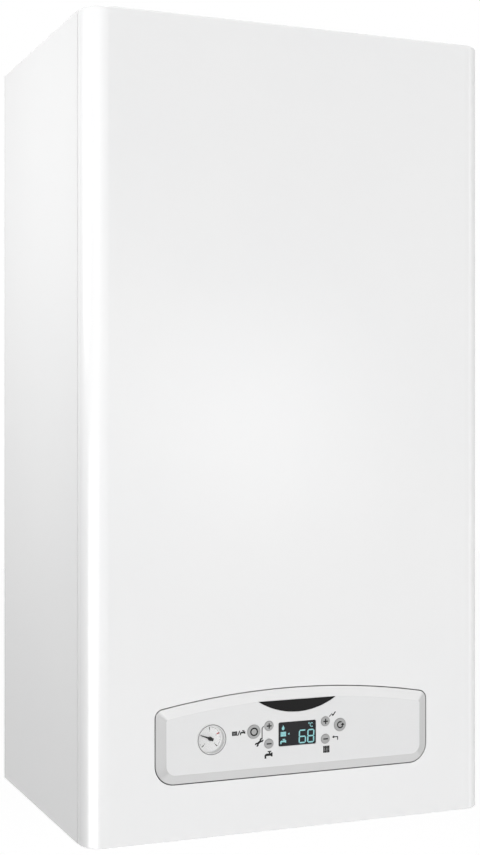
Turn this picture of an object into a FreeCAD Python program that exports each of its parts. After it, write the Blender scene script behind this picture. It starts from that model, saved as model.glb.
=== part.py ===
import FreeCAD
import Part
import math
import os

# Wall-hung gas boiler with a sealed chamber, in millimetres.
# The origin lies on the wall plane, midway between the two hanging holes.
# +Z is up, +X is to the viewer's right and the front faces -Y.
# Sizes below are given across (x), out from the wall (depth) and up from the casing bottom (height).

V = FreeCAD.Vector
RIGHT = V(1, 0, 0)
LEFT = V(-1, 0, 0)
FORWARD = V(0, -1, 0)
BACKWARD = V(0, 1, 0)
UP = V(0, 0, 1)
DOWN = V(0, 0, -1)

# Casing
CASE_WIDTH = 400.0
CASE_HEIGHT = 738.0
CASE_DEPTH = 301.0
CASE_SHEET = 1.2
PANEL_LIP = 10.0
SEAM_GAP = 1.0
COVER_RETURN = 26.0
COVER_CORNER_RADIUS = 21.0
COVER_TOP_ROUNDING = 2.5
COVER_BOTTOM_ROUNDING = 1.0
SEAL_WIDTH = 6.0
SEAL_INSET = 2.0

# Fits
RUNNING_FIT = 0.05
LOOSE_FIT = 0.3

# Wall hanging
HANG_SPACING = 280.0
HANG_HOLE_RADIUS = 6.0
HANG_DROP = 48.0

# Back frame
FRAME_SHEET = 1.5
FRAME_DEPTH = 62.0
FRAME_LIP = 28.0
BEAD_COUNT = 4
BEAD_RADIUS = 8.0
BEAD_DEPTH = 0.7
BEAD_SIDE_ROOM = 62.0
BEAD_TOP_ROOM = 44.0
BEAD_BOTTOM = 70.0

# Cover screws, in slots that are open towards the wall
SCREW_SPACING = 240.0
SCREW_SETBACK = 17.0
SCREW_RADIUS = 2.0
SCREW_HEAD_RADIUS = 5.0
SCREW_HEAD_HEIGHT = 3.0
SCREW_LENGTH = 7.0
TAB_WIDTH = 18.0
TAB_REACH = 6.0
TAB_SEAT = 16.0

# Control fascia, standing proud of the cover with an arched top edge
FASCIA_HALF_WIDTH = 136.0
FASCIA_BOTTOM = 51.0
FASCIA_APEX = 129.5
FASCIA_ARCH_RADIUS = 730.0
FASCIA_TOP_CORNER = 7.5
FASCIA_BOTTOM_CORNER = 17.5
FASCIA_PROUD = 4.0
FASCIA_BEVEL = 8.7
FASCIA_INNER_CORNER = 3.0
FASCIA_GAP = 1.0
FASCIA_WALL = 2.5

# Control box behind the fascia, hung on two pins
BOX_SIDE_ROOM = 24.0
BOX_BOTTOM = 40.0
BOX_TOP = 162.0
BOX_SHARE = 0.2591
BOX_WALL = 2.5
BOX_CORNER = 6.0
BOX_FRONT_ROOM = 15.0
HINGE_HEIGHT = 50.0
HINGE_SETBACK = 31.0
HINGE_PIN_RADIUS = 3.0
HINGE_BOSS_RADIUS = 8.0
HINGE_BOSS_LENGTH = 5.5
HINGE_GAP = 1.0
BRACKET_SHEET = 2.5
BRACKET_FOOT = 14.0
BRACKET_FOOT_SETBACK = 73.0
BRACKET_FOOT_LENGTH = 40.0
BRACKET_NOSE_HEIGHT = 30.0
VENT_COUNT = 9
VENT_PITCH = 30.0
VENT_WIDTH = 4.0
VENT_HEIGHT = 60.0

# Buttons: across, height and cap radius of each
BUTTONS = {
    "power_button": (-43.3, 92.9, 6.2),
    "reset_button": (43.4, 92.9, 5.9),
    "water_plus_button": (-28.45, 97.1, 4.3),
    "water_minus_button": (-28.45, 80.9, 4.3),
    "heating_plus_button": (28.45, 97.1, 4.3),
    "heating_minus_button": (28.45, 80.9, 4.3),
}
BUTTON_PROUD = 0.6
BUTTON_EDGE = 0.35
BUTTON_TRAVEL = 1.2
BUTTON_FLANGE = 1.4
BUTTON_FLANGE_THICKNESS = 1.0
BUTTON_STEM_RADIUS = 2.0
BUTTON_STEM = 1.5

# Display and badge plate
DISPLAY_HALF_WIDTH = 18.6
DISPLAY_BOTTOM = 77.6
DISPLAY_TOP = 99.1
DISPLAY_CORNER = 1.2
WINDOW_THICKNESS = 2.0
WINDOW_SETBACK = 0.2
BADGE_TOP = 119.5
BADGE_HALF_WIDTH = 38.5
BADGE_DROP = 11.2
BADGE_RECESS = 0.8
BADGE_THICKNESS = 1.0

# Manometer
GAUGE_X = -84.3
GAUGE_HEIGHT = 89.0
GAUGE_RING_RADIUS = 14.1
GAUGE_RING_PROUD = 0.9
GAUGE_CASE_RADIUS = 13.0
GAUGE_CASE_WALL = 0.8
GAUGE_CASE_LENGTH = 16.0
GAUGE_FLOOR = 2.0
GAUGE_MOVEMENT_RADIUS = 8.0
GAUGE_DIAL_SETBACK = 5.4
GAUGE_DIAL_THICKNESS = 0.6
GAUGE_GLASS_THICKNESS = 1.0
SPINDLE_RADIUS = 0.5
SPINDLE_LENGTH = 3.0
NEEDLE_LIFT = 0.8
NEEDLE_THICKNESS = 0.6
NEEDLE_HUB_RADIUS = 1.8
NEEDLE_HUB_LENGTH = 1.6
NEEDLE_REACH = 9.5
NEEDLE_TAIL = 3.5
NEEDLE_WIDTH = 1.4
NEEDLE_REST_ANGLE = 157.5

# Circuit boards
BOARD_THICKNESS = 1.6
MAIN_BOARD_MARGIN = 24.0
MAIN_BOARD_POST = 18.0
DISPLAY_BOARD_HALF_WIDTH = 62.0
DISPLAY_BOARD_BOTTOM = 64.0
DISPLAY_BOARD_TOP = 112.0
DISPLAY_BOARD_POST = 5.0
POST_RADIUS = 2.5
POST_MARGIN = 5.0
SWITCH_SIDE = 6.0
SWITCH_GAP = 0.3
TRANSFORMER = (44.0, 34.0, 40.0)
RELAY = (14.0, 16.0, 24.0)
RELAY_COUNT = 3
RELAY_PITCH = 20.0
CAPACITOR_RADIUS = 9.0
CAPACITOR_LENGTH = 24.0
CONNECTOR = (18.0, 12.0, 9.0)
CONNECTOR_COUNT = 7
CONNECTOR_PITCH = 26.0

# Sealed chamber
CHAMBER_SIDE_ROOM = 26.0
CHAMBER_BOTTOM = 287.0
CHAMBER_TOP_ROOM = 30.0
CHAMBER_FRONT_ROOM = 53.0
CHAMBER_SHEET = 1.0
CHAMBER_FLANGE = 8.0
GASKET_WIDTH = 6.0
GASKET_THICKNESS = 2.0
LID_SHEET = 1.2
LID_RAISE = 8.0
LID_MARGIN = 24.0
LID_CORNER = 14.0
SIGHT_HEIGHT = 366.0
SIGHT_HOLE_RADIUS = 13.0
SIGHT_GLASS_RADIUS = 17.0
SIGHT_GLASS_THICKNESS = 3.0

# Main exchanger: fins on a serpentine of straight tubes
CORE_SIDE_ROOM = 50.5
CORE_HEIGHT = 56.0
CORE_DEPTH_ROOM = 26.0
CORE_MARGIN_SHARE = 0.224
TUBE_COUNT = 5
TUBE_SHARE = 0.3075
TUBE_WALL = 1.0
TUBE_BEND_ROOM = 1.0
TUBE_TAIL_ROOM = 17.0
FIN_COUNT = 29
FIN_THICKNESS = 0.8
CORE_END_PLATE = 1.5

# Firebox and insulation
FIREBOX_ROOM = 8.0
FIREBOX_SHEET = 1.2
FIREBOX_WINDOW = 54.0
FIREBOX_SHARE = 0.3586
BOARD_INSULATION = 14.0

# Burner
TRAY_WALL = 2.0
TRAY_HEIGHT = 20.0
TRAY_ROOM = 5.5
TRAY_RAIL = 6.0
BAR_COUNT = 11
BAR_END_ROOM = 18.0
BAR_SHARE = 0.6
BAR_HEIGHT = 30.0
BAR_SLOT_COUNT = 9
BAR_SLOT_SHARE = 0.188
BAR_SLOT_WIDTH = 2.0
BAR_SLOT_DEPTH = 3.0
BAR_INLET_LENGTH = 20.0
BAR_INLET_HEIGHT = 8.0
MANIFOLD_RADIUS = 9.0
MANIFOLD_WALL = 2.0
MANIFOLD_SETBACK = 18.0
INJECTOR_SHARE = 0.75
INJECTOR_GAP = 1.0
INJECTOR_SEAT = 3.0
MANIFOLD_STRAP = 4.0

# Electrodes: two for ignition and one that watches the flame
ELECTRODE_X = (-62.0, -46.0, 70.0)
ELECTRODE_LIFT = 12.0
ELECTRODE_RADIUS = 3.0
ELECTRODE_FLANGE = 12.0
ELECTRODE_FLANGE_THICKNESS = 2.0
ELECTRODE_TAIL = 10.0
ELECTRODE_REACH = 26.0
ELECTRODE_TIP_RADIUS = 1.0
ELECTRODE_TIP = 16.0

# Fan, with its outlet in line with the flue
FAN_LENGTH_SHARE = 0.2903
FAN_WALL = 1.5
FAN_SHARE = 0.2345
FAN_TOP_ROOM = 20.0
FAN_INLET_SHARE = 0.53
DUCT_SHARE = 0.426
DUCT_FLANGE_HALF = 36.0
DUCT_FLANGE_THICKNESS = 2.0
WHEEL_TIP_ROOM = 12.0
WHEEL_GAP = 8.0
WHEEL_PLATE = 2.0
WHEEL_BLADE_COUNT = 24
WHEEL_BLADE_THICKNESS = 1.2
WHEEL_BLADE_DEPTH = 14.0
WHEEL_BLADE_ANGLE = 35.0
WHEEL_HUB_RADIUS = 10.0
WHEEL_HUB_LENGTH = 12.0
FAN_SHAFT_RADIUS = 3.0
FAN_SHAFT_SHARE = 0.875
FAN_MOTOR_SHARE = 0.44
FAN_MOTOR_LENGTH_SHARE = 0.258
FAN_MOTOR_PLATE_SHARE = 0.56
FAN_MOTOR_PLATE = 2.0

# Flue hood, a tapering duct from the exchanger to the fan inlet
HOOD_SHEET = 1.2
HOOD_SHARE = 0.1724
PLENUM_SHARE = 0.91

# Flue connection: an inner flue bore inside an air collar
FLUE_BORE_RADIUS = 30.0
FLUE_WALL = 1.5
FLUE_RISE = 22.0
COLLAR_RADIUS = 50.0
COLLAR_WALL = 1.5
COLLAR_FLANGE = 16.0
COLLAR_FLANGE_THICKNESS = 2.0

# Pressure switch and its hoses
SWITCH_RADIUS = 26.0
SWITCH_LENGTH = 32.0
SWITCH_RISE = 20.0
SWITCH_SETBACK = 53.0
SWITCH_RIM = 2.5
NIPPLE_RADIUS = 2.4
NIPPLE_LENGTH = 10.0
NIPPLE_OFFSET = 9.0
HOSE_RADIUS = 3.8
HOSE_BEND_SHARE = 0.288

# Connections under the casing
CONNECTION_SIDE_ROOM = 68.8
CONNECTION_DEPTH = 90.0
CONNECTION_DROP = 28.0
LARGE_STUB_RADIUS = 13.2
SMALL_STUB_RADIUS = 10.45
LARGE_BORE_RADIUS = 9.0
SMALL_BORE_RADIUS = 6.5
STUB_COLLAR = 5.0
STUB_COLLAR_HEIGHT = 8.0
HOLE_CLEARANCE = 0.8
STUB_HOLE_CLEARANCE = 1.3

# Water blocks
BLOCK_HEIGHT = 66.0
BLOCK_RADIUS = 24.0
BLOCK_BORE_RADIUS = 14.0
BLOCK_START_ROOM = 20.0
BLOCK_END_ROOM = 33.8
BLOCK_WALL = 8.0
SADDLE_END_ROOM = 10.0
SADDLE_HALF = 18.0
SADDLE_TOP = 100.0
PORT_RADIUS = 14.0
PORT_TOP = 106.0
VESSEL_BOSS_HALF = 10.0
VESSEL_BOSS_LENGTH = 30.0

# Plate exchanger
PLATE_COUNT = 12
PLATE_PITCH = 5.0
PLATE_THICKNESS = 3.2
PLATE_INSET = 1.5
PLATE_HALF_DEPTH = 36.0
PLATE_CORNER = 16.0

# Pump
PUMP_SIDE_ROOM = 24.8
PUMP_LEG = 4.0
PUMP_NECK = 10.0
PUMP_RADIUS = 46.0
PUMP_WALL = 6.0
PUMP_LENGTH = 44.0
PUMP_FLOOR = 4.0
PUMP_MOTOR_RADIUS = 40.0
PUMP_MOTOR_ROOM = 19.0
PUMP_FLANGE = 5.0
PUMP_TERMINAL = (44.0, 40.0, 18.0)
PUMP_WHEEL_RADIUS = 34.0
PUMP_WHEEL_LENGTH = 22.0
PUMP_WHEEL_PLATE = 3.0
PUMP_WHEEL_GAP = 6.0
PUMP_VANE_COUNT = 7
PUMP_VANE_THICKNESS = 2.0
PUMP_SHAFT_RADIUS = 4.0
PUMP_SHAFT_SHARE = 0.472

# Air vent on the pump
VENT_OFFSET = 33.0
VENT_BOSS_RADIUS = 10.0
VENT_RADIUS = 16.0
VENT_BODY = 34.0
VENT_CAP_RADIUS = 6.0
VENT_CAP = 8.0

# Diverter motor and relief valve on the flow block
DIVERTER_OFFSET = 35.0
DIVERTER_BONNET_RADIUS = 19.0
DIVERTER_BONNET_REACH = 38.0
DIVERTER_HALF = 23.0
DIVERTER_ROOM = 24.0
DIVERTER_CORNER = 5.0
RELIEF_OFFSET = 18.0
RELIEF_BRANCH_RADIUS = 11.0
RELIEF_BRANCH_REACH = 34.0
RELIEF_RADIUS = 14.0
RELIEF_SHARE = 0.2373
RELIEF_OUTLET_RADIUS = 8.0
RELIEF_OUTLET_DROP = 14.0
RELIEF_STEM_RADIUS = 4.0
RELIEF_STEM = 10.0
RELIEF_KNOB_RADIUS = 16.0
RELIEF_KNOB_LENGTH = 18.0
RELIEF_KNOB_GAP = 1.0

# Filling knob under the return block
FILL_BOSS_RADIUS = 9.0
FILL_BOSS_DROP = 34.0
FILL_STEM_RADIUS = 4.0
FILL_STEM_SEAT = 20.0
FILL_KNOB_SHARE = 0.43
FILL_KNOB_TOP = -6.0
FILL_KNOB_LENGTH = 18.0
KNOB_RIB_COUNT = 12
KNOB_RIB_RADIUS = 2.0

# Gas valve and pipes
GAS_VALVE_HALF = 40.0
GAS_VALVE_PLACE = 0.404
GAS_VALVE_SHARE = 0.7
GAS_VALVE_BOTTOM = 160.0
GAS_VALVE_HEIGHT = 72.0
GAS_VALVE_CORNER = 4.0
GAS_PORT_RADIUS = 14.0
GAS_PORT_LENGTH = 8.0
GAS_PIPE_RADIUS = 9.0
GAS_RISER_RADIUS = 7.0
GAS_PIPE_WALL = 1.2
GAS_INLET_TURN = 50.0
GAS_INLET_RISE = 96.0
GAS_RISER_TURN = 22.0
GAS_INLET_BEND = 22.0
GAS_RISER_BEND = 12.0
COIL_SPACING = 38.0
COIL_RADIUS = 16.0
COIL_LENGTH = 40.0
COIL_HEIGHT = 40.0
COIL_CAP_RADIUS = 6.0
COIL_CAP = 4.0

# Heating pipes between the blocks and the main exchanger
RISER_SIDE_ROOM = 19.0
PIPE_RADIUS = 9.0
PIPE_WALL = 1.0
PIPE_BEND = 20.0
FLOW_TURN_RISE = 24.0
RETURN_TURN_RISE = 24.0
RETURN_JOG_RISE = 54.0
SLEEVE_WALL = 1.6
SLEEVE_LENGTH = 14.0

# Expansion vessel in the back frame
VESSEL_WIDTH = 300.0
VESSEL_BOTTOM = 300.0
VESSEL_TOP_ROOM = 50.0
VESSEL_FRONT_ROOM = 6.0
VESSEL_CORNER = 60.0
VESSEL_ROUNDING = 18.0
VESSEL_WALL = 1.6
VESSEL_PORT_X = 60.0
VESSEL_PORT_RADIUS = 9.0
VESSEL_PORT_LENGTH = 14.0
VESSEL_PIPE_RADIUS = 6.0
VESSEL_PIPE_BEND = 14.0

# Places that several pieces share
CASE_HALF = CASE_WIDTH / 2
INNER_HALF = CASE_HALF - CASE_SHEET
HANG_HEIGHT = CASE_HEIGHT - HANG_DROP
COVER_BACK = CASE_DEPTH - COVER_RETURN
PANEL_FRONT = COVER_BACK - SEAM_GAP
SCREW_DEPTH = CASE_DEPTH - SCREW_SETBACK
FASCIA_FRONT = CASE_DEPTH + FASCIA_PROUD
FASCIA_INSIDE = FASCIA_FRONT - FASCIA_WALL
BOX_HALF = CASE_HALF - BOX_SIDE_ROOM
BOX_FRONT = CASE_DEPTH - BOX_FRONT_ROOM
BOX_LENGTH = BOX_SHARE * CASE_DEPTH
BOX_BACK = BOX_FRONT - BOX_LENGTH
HINGE_DEPTH = CASE_DEPTH - HINGE_SETBACK
BRACKET_FOOT_START = CASE_DEPTH - BRACKET_FOOT_SETBACK
BUTTON_STEM_END = FASCIA_INSIDE - LOOSE_FIT - BUTTON_FLANGE_THICKNESS - BUTTON_STEM
CHAMBER_HALF = CASE_HALF - CHAMBER_SIDE_ROOM
CHAMBER_TOP = CASE_HEIGHT - CHAMBER_TOP_ROOM
CHAMBER_FRONT = CASE_DEPTH - CHAMBER_FRONT_ROOM
CHAMBER_FLOOR = CHAMBER_BOTTOM + CHAMBER_SHEET
CHAMBER_MIDDLE = (FRAME_DEPTH + CHAMBER_FRONT) / 2
CHAMBER_LENGTH = CHAMBER_FRONT - FRAME_DEPTH
LID_BACK = CHAMBER_FRONT + GASKET_THICKNESS
STACK_ROOM = CHAMBER_TOP - CHAMBER_FLOOR - FIREBOX_WINDOW - CORE_HEIGHT - FAN_TOP_ROOM
CORE_HALF = CHAMBER_HALF - CORE_SIDE_ROOM
CORE_BOTTOM = CHAMBER_FLOOR + FIREBOX_WINDOW + FIREBOX_SHARE * STACK_ROOM
CORE_TOP = CORE_BOTTOM + CORE_HEIGHT
CORE_HALF_DEPTH = CHAMBER_LENGTH / 2 - CORE_DEPTH_ROOM
TUBE_PITCH = 2 * (1 - CORE_MARGIN_SHARE) * CORE_HALF_DEPTH / (TUBE_COUNT - 1)
TUBE_RADIUS = TUBE_SHARE * TUBE_PITCH
TUBE_HEIGHT = CORE_BOTTOM + CORE_HEIGHT / 2
TUBE_DEPTHS = [CHAMBER_MIDDLE + TUBE_PITCH * (i - (TUBE_COUNT - 1) / 2) for i in range(TUBE_COUNT)]
TUBE_TAIL = CORE_HALF + TUBE_TAIL_ROOM
FIREBOX_HALF = CORE_HALF + FIREBOX_ROOM
FIREBOX_HALF_DEPTH = CORE_HALF_DEPTH + FIREBOX_ROOM
FIREBOX_BOTTOM = CHAMBER_FLOOR + FIREBOX_WINDOW
BAR_BOTTOM = CHAMBER_FLOOR + TRAY_HEIGHT
BAR_TOP = BAR_BOTTOM + BAR_HEIGHT
BAR_HALF_LENGTH = CORE_HALF_DEPTH - BOARD_INSULATION + TRAY_ROOM
BAR_SLOT_PITCH = BAR_SLOT_SHARE * BAR_HALF_LENGTH
TRAY_HALF = CORE_HALF - TRAY_ROOM
TRAY_HALF_DEPTH = BAR_HALF_LENGTH + TRAY_WALL
BAR_PITCH = 2 * (TRAY_HALF - BAR_END_ROOM) / (BAR_COUNT - 1)
BAR_WIDTH = BAR_SHARE * BAR_PITCH
BAR_ROUNDING = BAR_WIDTH / 3
BAR_INLET_RADIUS = BAR_WIDTH / 3
INJECTOR_RADIUS = INJECTOR_SHARE * BAR_INLET_RADIUS
MANIFOLD_DEPTH = CHAMBER_FRONT - MANIFOLD_SETBACK
MANIFOLD_HEIGHT = BAR_BOTTOM + BAR_INLET_HEIGHT
MANIFOLD_HALF = BAR_PITCH * (BAR_COUNT - 1) / 2 + BAR_WIDTH
BARS_X = [BAR_PITCH * (i - (BAR_COUNT - 1) / 2) for i in range(BAR_COUNT)]
HOOD_RISE = HOOD_SHARE * STACK_ROOM
FAN_LENGTH = FAN_LENGTH_SHARE * CHAMBER_LENGTH
FAN_MOTOR_LENGTH = FAN_MOTOR_LENGTH_SHARE * CHAMBER_LENGTH
FAN_SHAFT_REACH = FAN_SHAFT_SHARE * FAN_MOTOR_LENGTH
PLENUM_LENGTH = CORE_HALF_DEPTH - FAN_LENGTH / 2
DUCT_HALF = DUCT_SHARE * FAN_LENGTH
FAN_RADIUS = FAN_SHARE * STACK_ROOM
FAN_INLET_RADIUS = FAN_INLET_SHARE * FAN_RADIUS
FAN_X = DUCT_HALF - FAN_RADIUS
FAN_HEIGHT = CORE_TOP + HOOD_RISE + FAN_RADIUS
FAN_MOTOR_RADIUS = FAN_MOTOR_SHARE * FAN_RADIUS
FAN_MOTOR_PLATE_HALF = FAN_MOTOR_PLATE_SHARE * FAN_RADIUS
WHEEL_RADIUS = FAN_RADIUS - WHEEL_TIP_ROOM
PLENUM_HALF = PLENUM_SHARE * FAN_RADIUS
FAN_BACK = CHAMBER_MIDDLE - FAN_LENGTH / 2
FAN_FRONT = CHAMBER_MIDDLE + FAN_LENGTH / 2
DUCT_TOP = CHAMBER_TOP - CHAMBER_SHEET - LOOSE_FIT - DUCT_FLANGE_THICKNESS
FLUE_TOP = CASE_HEIGHT + FLUE_RISE
SWITCH_HEIGHT = FAN_HEIGHT + SWITCH_RISE
SWITCH_FACE = CHAMBER_HALF - CHAMBER_SHEET - SWITCH_LENGTH
SWITCH_DEPTH = CHAMBER_FRONT - SWITCH_SETBACK
HOSE_BEND = HOSE_BEND_SHARE * (SWITCH_FACE - DUCT_HALF)
CONNECTION_PITCH = (INNER_HALF - CONNECTION_SIDE_ROOM) / 2
BLOCK_START = CONNECTION_PITCH - BLOCK_START_ROOM
BLOCK_LENGTH = INNER_HALF - BLOCK_END_ROOM - BLOCK_START
DIVERTER_LENGTH = BOX_BACK - DIVERTER_ROOM - CONNECTION_DEPTH - DIVERTER_BONNET_REACH
RELIEF_LENGTH = RELIEF_SHARE * (BOX_BACK - CONNECTION_DEPTH)
DIVERTER_X = DIVERTER_OFFSET - 2 * CONNECTION_PITCH
RELIEF_X = -2 * CONNECTION_PITCH - RELIEF_OFFSET
FILL_X = 3 * CONNECTION_PITCH / 2
FILL_KNOB_RADIUS = FILL_KNOB_SHARE * CONNECTION_PITCH / 2
PUMP_X = INNER_HALF - PUMP_SIDE_ROOM - PUMP_RADIUS
SADDLE_END = PUMP_X - PUMP_RADIUS - SADDLE_END_ROOM
PUMP_HEIGHT = PORT_TOP + PUMP_LEG + PUMP_RADIUS
PUMP_TOP = PUMP_HEIGHT + PUMP_RADIUS + PUMP_NECK
VENT_SEAT = PUMP_HEIGHT + PUMP_RADIUS
FLOW_TURN_HEIGHT = PUMP_TOP + FLOW_TURN_RISE
RETURN_JOG_HEIGHT = PUMP_TOP + RETURN_JOG_RISE
PUMP_BACK = CONNECTION_DEPTH - PUMP_LENGTH / 2
PUMP_FRONT = CONNECTION_DEPTH + PUMP_LENGTH / 2
PUMP_MOTOR_LENGTH = BOX_BACK - PUMP_MOTOR_ROOM - PUMP_FRONT - PUMP_FLANGE
PUMP_SHAFT_REACH = PUMP_SHAFT_SHARE * PUMP_MOTOR_LENGTH
RISER_X = CHAMBER_HALF - RISER_SIDE_ROOM
GAS_VALVE_TOP = GAS_VALVE_BOTTOM + GAS_VALVE_HEIGHT
PLATE_FRONT = CONNECTION_DEPTH + PLATE_HALF_DEPTH
GAS_VALVE_DEPTH = PLATE_FRONT + GAS_VALVE_PLACE * (MANIFOLD_DEPTH - PLATE_FRONT)
GAS_VALVE_HALF_DEPTH = GAS_VALVE_SHARE * (BOX_BACK - GAS_VALVE_DEPTH)
VESSEL_HEIGHT = HANG_HEIGHT - VESSEL_BOTTOM - VESSEL_TOP_ROOM
VESSEL_FRONT = FRAME_DEPTH - FRAME_SHEET - VESSEL_FRONT_ROOM
VESSEL_MIDDLE = (FRAME_SHEET + VESSEL_FRONT) / 2


def point(x, depth, height):
    """Place given across, out from the wall and up from the casing bottom."""
    return V(x, -depth, height - HANG_HEIGHT)


def block(x, depth, height):
    """Box between two values of each direction."""
    corner = point(x[0], depth[1], height[0])
    return Part.makeBox(x[1] - x[0], depth[1] - depth[0], height[1] - height[0], corner)


def slab(half, depth, height):
    """Box that is centred across the casing."""
    return block((-half, half), depth, height)


def rod(start, axis, radius, length):
    """Round bar from a place along an axis."""
    return Part.makeCylinder(radius, length, point(*start), axis)


def join(shapes):
    """One solid from shapes that overlap or touch."""
    return shapes[0].multiFuse(shapes[1:]).removeSplitter()


def mirrored(shape):
    """Copy on the other side of the middle plane."""
    return shape.mirror(V(0, 0, 0), RIGHT)


def both_sides(shape):
    """A shape on the right and its copy on the left."""
    return [shape, mirrored(shape)]


def is_along(edge, axis):
    """Tell whether an edge is straight and runs along an axis."""
    if edge.Curve.TypeId != "Part::GeomLine":
        return False
    return abs(edge.tangentAt(edge.FirstParameter).dot(axis)) > 0.999


def lies_at(low, high, level):
    """Whether an edge that spans low to high stays at one level."""
    return abs(low - level) < 0.01 and abs(high - level) < 0.01


def rounded(shape, axis, radius):
    """Round all straight edges that run along an axis."""
    return shape.makeFillet(radius, [edge for edge in shape.Edges if is_along(edge, axis)])


def route(points, bend):
    """Straight runs joined by tangent arcs of one radius."""
    edges = []
    start = points[0]
    for before, corner, after in zip(points, points[1:], points[2:]):
        back = (before - corner).normalize()
        ahead = (after - corner).normalize()
        half_angle = back.getAngle(ahead) / 2
        reach = bend / math.tan(half_angle)
        middle = (back + ahead).normalize() * (bend / math.sin(half_angle) - bend)
        arc_start = corner + back * reach
        arc_end = corner + ahead * reach
        if (arc_start - start).Length > 1e-6:
            edges.append(Part.LineSegment(start, arc_start).toShape())
        edges.append(Part.Arc(arc_start, corner + middle, arc_end).toShape())
        start = arc_end
    edges.append(Part.LineSegment(start, points[-1]).toShape())
    return Part.Wire(edges)


def bent_rod(points, bend, radius):
    """Round bar along a route."""
    circle = Part.makeCircle(radius, points[0], points[1] - points[0])
    return route(points, bend).makePipeShell([Part.Wire(circle)], True, True)


def bent_tube(points, bend, radius, wall):
    """Round tube along a route."""
    return bent_rod(points, bend, radius).cut(bent_rod(points, bend, radius - wall))


def fascia_outline(offset, depth):
    """Outline of the fascia, moved outwards by an offset, at a depth."""
    half = FASCIA_HALF_WIDTH + offset
    bottom = FASCIA_BOTTOM - offset
    arch = FASCIA_ARCH_RADIUS + offset
    centre = FASCIA_APEX - FASCIA_ARCH_RADIUS
    low = max(FASCIA_BOTTOM_CORNER + offset, FASCIA_INNER_CORNER)
    high = max(FASCIA_TOP_CORNER + offset, FASCIA_INNER_CORNER)
    turn = math.asin((half - high) / (arch - high))
    shoulder = centre + (arch - high) * math.cos(turn)
    half_turn = (math.pi / 2 + turn) / 2
    diagonal = low * (1 - math.sqrt(0.5))

    def place(x, height):
        return point(x, depth, height)

    def corner_arc(side):
        start = place(side * half, shoulder)
        across = half - high + high * math.sin(half_turn)
        middle = place(side * across, shoulder + high * math.cos(half_turn))
        end = place(side * arch * math.sin(turn), centre + arch * math.cos(turn))
        return start, middle, end

    def foot_arc(side):
        start = place(side * (half - low), bottom)
        middle = place(side * (half - diagonal), bottom + diagonal)
        return start, middle, place(side * half, bottom + low)

    right_top = corner_arc(1)
    left_top = corner_arc(-1)
    right_foot = foot_arc(1)
    left_foot = foot_arc(-1)
    edges = [
        Part.LineSegment(left_foot[0], right_foot[0]),
        Part.Arc(*right_foot),
        Part.LineSegment(right_foot[2], right_top[0]),
        Part.Arc(*right_top),
        Part.Arc(right_top[2], place(0, centre + arch), left_top[2]),
        Part.Arc(left_top[2], left_top[1], left_top[0]),
        Part.LineSegment(left_top[0], left_foot[2]),
        Part.Arc(left_foot[2], left_foot[1], left_foot[0]),
    ]
    return Part.Wire([edge.toShape() for edge in edges])


def fascia_prism(offset, start, end):
    """Straight body with the outline of the fascia between two depths."""
    return Part.Face(fascia_outline(offset, start)).extrude(FORWARD * (end - start))


def badge_shape(offset, start, end):
    """Segment of a circle under a straight top edge, between two depths."""
    radius = (BADGE_HALF_WIDTH ** 2 + BADGE_DROP ** 2) / (2 * BADGE_DROP)
    half = math.sqrt((radius + offset) ** 2 - (radius - BADGE_DROP - offset) ** 2)
    left = point(-half, start, BADGE_TOP + offset)
    right = point(half, start, BADGE_TOP + offset)
    low = point(0, start, BADGE_TOP - BADGE_DROP - offset)
    edges = [Part.LineSegment(left, right).toShape(), Part.Arc(right, low, left).toShape()]
    return Part.Face(Part.Wire(edges)).extrude(FORWARD * (end - start))


def display_shape(offset, start, end):
    """Rounded rectangle of the display between two depths."""
    height = (DISPLAY_BOTTOM - offset, DISPLAY_TOP + offset)
    plate = slab(DISPLAY_HALF_WIDTH + offset, (start, end), height)
    return rounded(plate, FORWARD, DISPLAY_CORNER + offset)


# Casing pieces


def frame_bead(x):
    """Upright groove with round ends, pressed into the back of the frame."""
    top = HANG_HEIGHT - BEAD_TOP_ROOM
    groove = block((x - BEAD_RADIUS, x + BEAD_RADIUS), (0, BEAD_DEPTH), (BEAD_BOTTOM, top))
    ends = [rod((x, 0, height), FORWARD, BEAD_RADIUS, BEAD_DEPTH) for height in (BEAD_BOTTOM, top)]
    return join([groove] + ends)


def make_back_frame():
    """Tray with inward lips, hung on the wall by two holes."""
    half = INNER_HALF
    low = CASE_SHEET
    high = CASE_HEIGHT - CASE_SHEET
    tray = slab(half, (0, FRAME_DEPTH), (low, high))
    hollow_depth = (FRAME_SHEET, FRAME_DEPTH - FRAME_SHEET)
    hollow = slab(half - FRAME_SHEET, hollow_depth, (low + FRAME_SHEET, high - FRAME_SHEET))
    window_depth = (FRAME_DEPTH - FRAME_SHEET, FRAME_DEPTH)
    window = slab(half - FRAME_LIP, window_depth, (low + FRAME_LIP, high - FRAME_LIP))
    hole = rod((HANG_SPACING / 2, 0, HANG_HEIGHT), FORWARD, HANG_HOLE_RADIUS, FRAME_SHEET)
    first = BEAD_SIDE_ROOM - INNER_HALF
    pitch = -2 * first / (BEAD_COUNT - 1)
    beads = [frame_bead(first + i * pitch) for i in range(BEAD_COUNT)]
    return tray.cut([hollow, window] + both_sides(hole) + beads)


def make_right_side_panel():
    """Side sheet with a lip folded in at its front edge."""
    sheet = block((INNER_HALF, CASE_HALF), (0, PANEL_FRONT), (0, CASE_HEIGHT))
    height = (CASE_SHEET, CASE_HEIGHT - CASE_SHEET)
    lip = block((CASE_HALF - PANEL_LIP, CASE_HALF), (PANEL_FRONT - CASE_SHEET, PANEL_FRONT), height)
    return join([sheet, lip])


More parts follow.
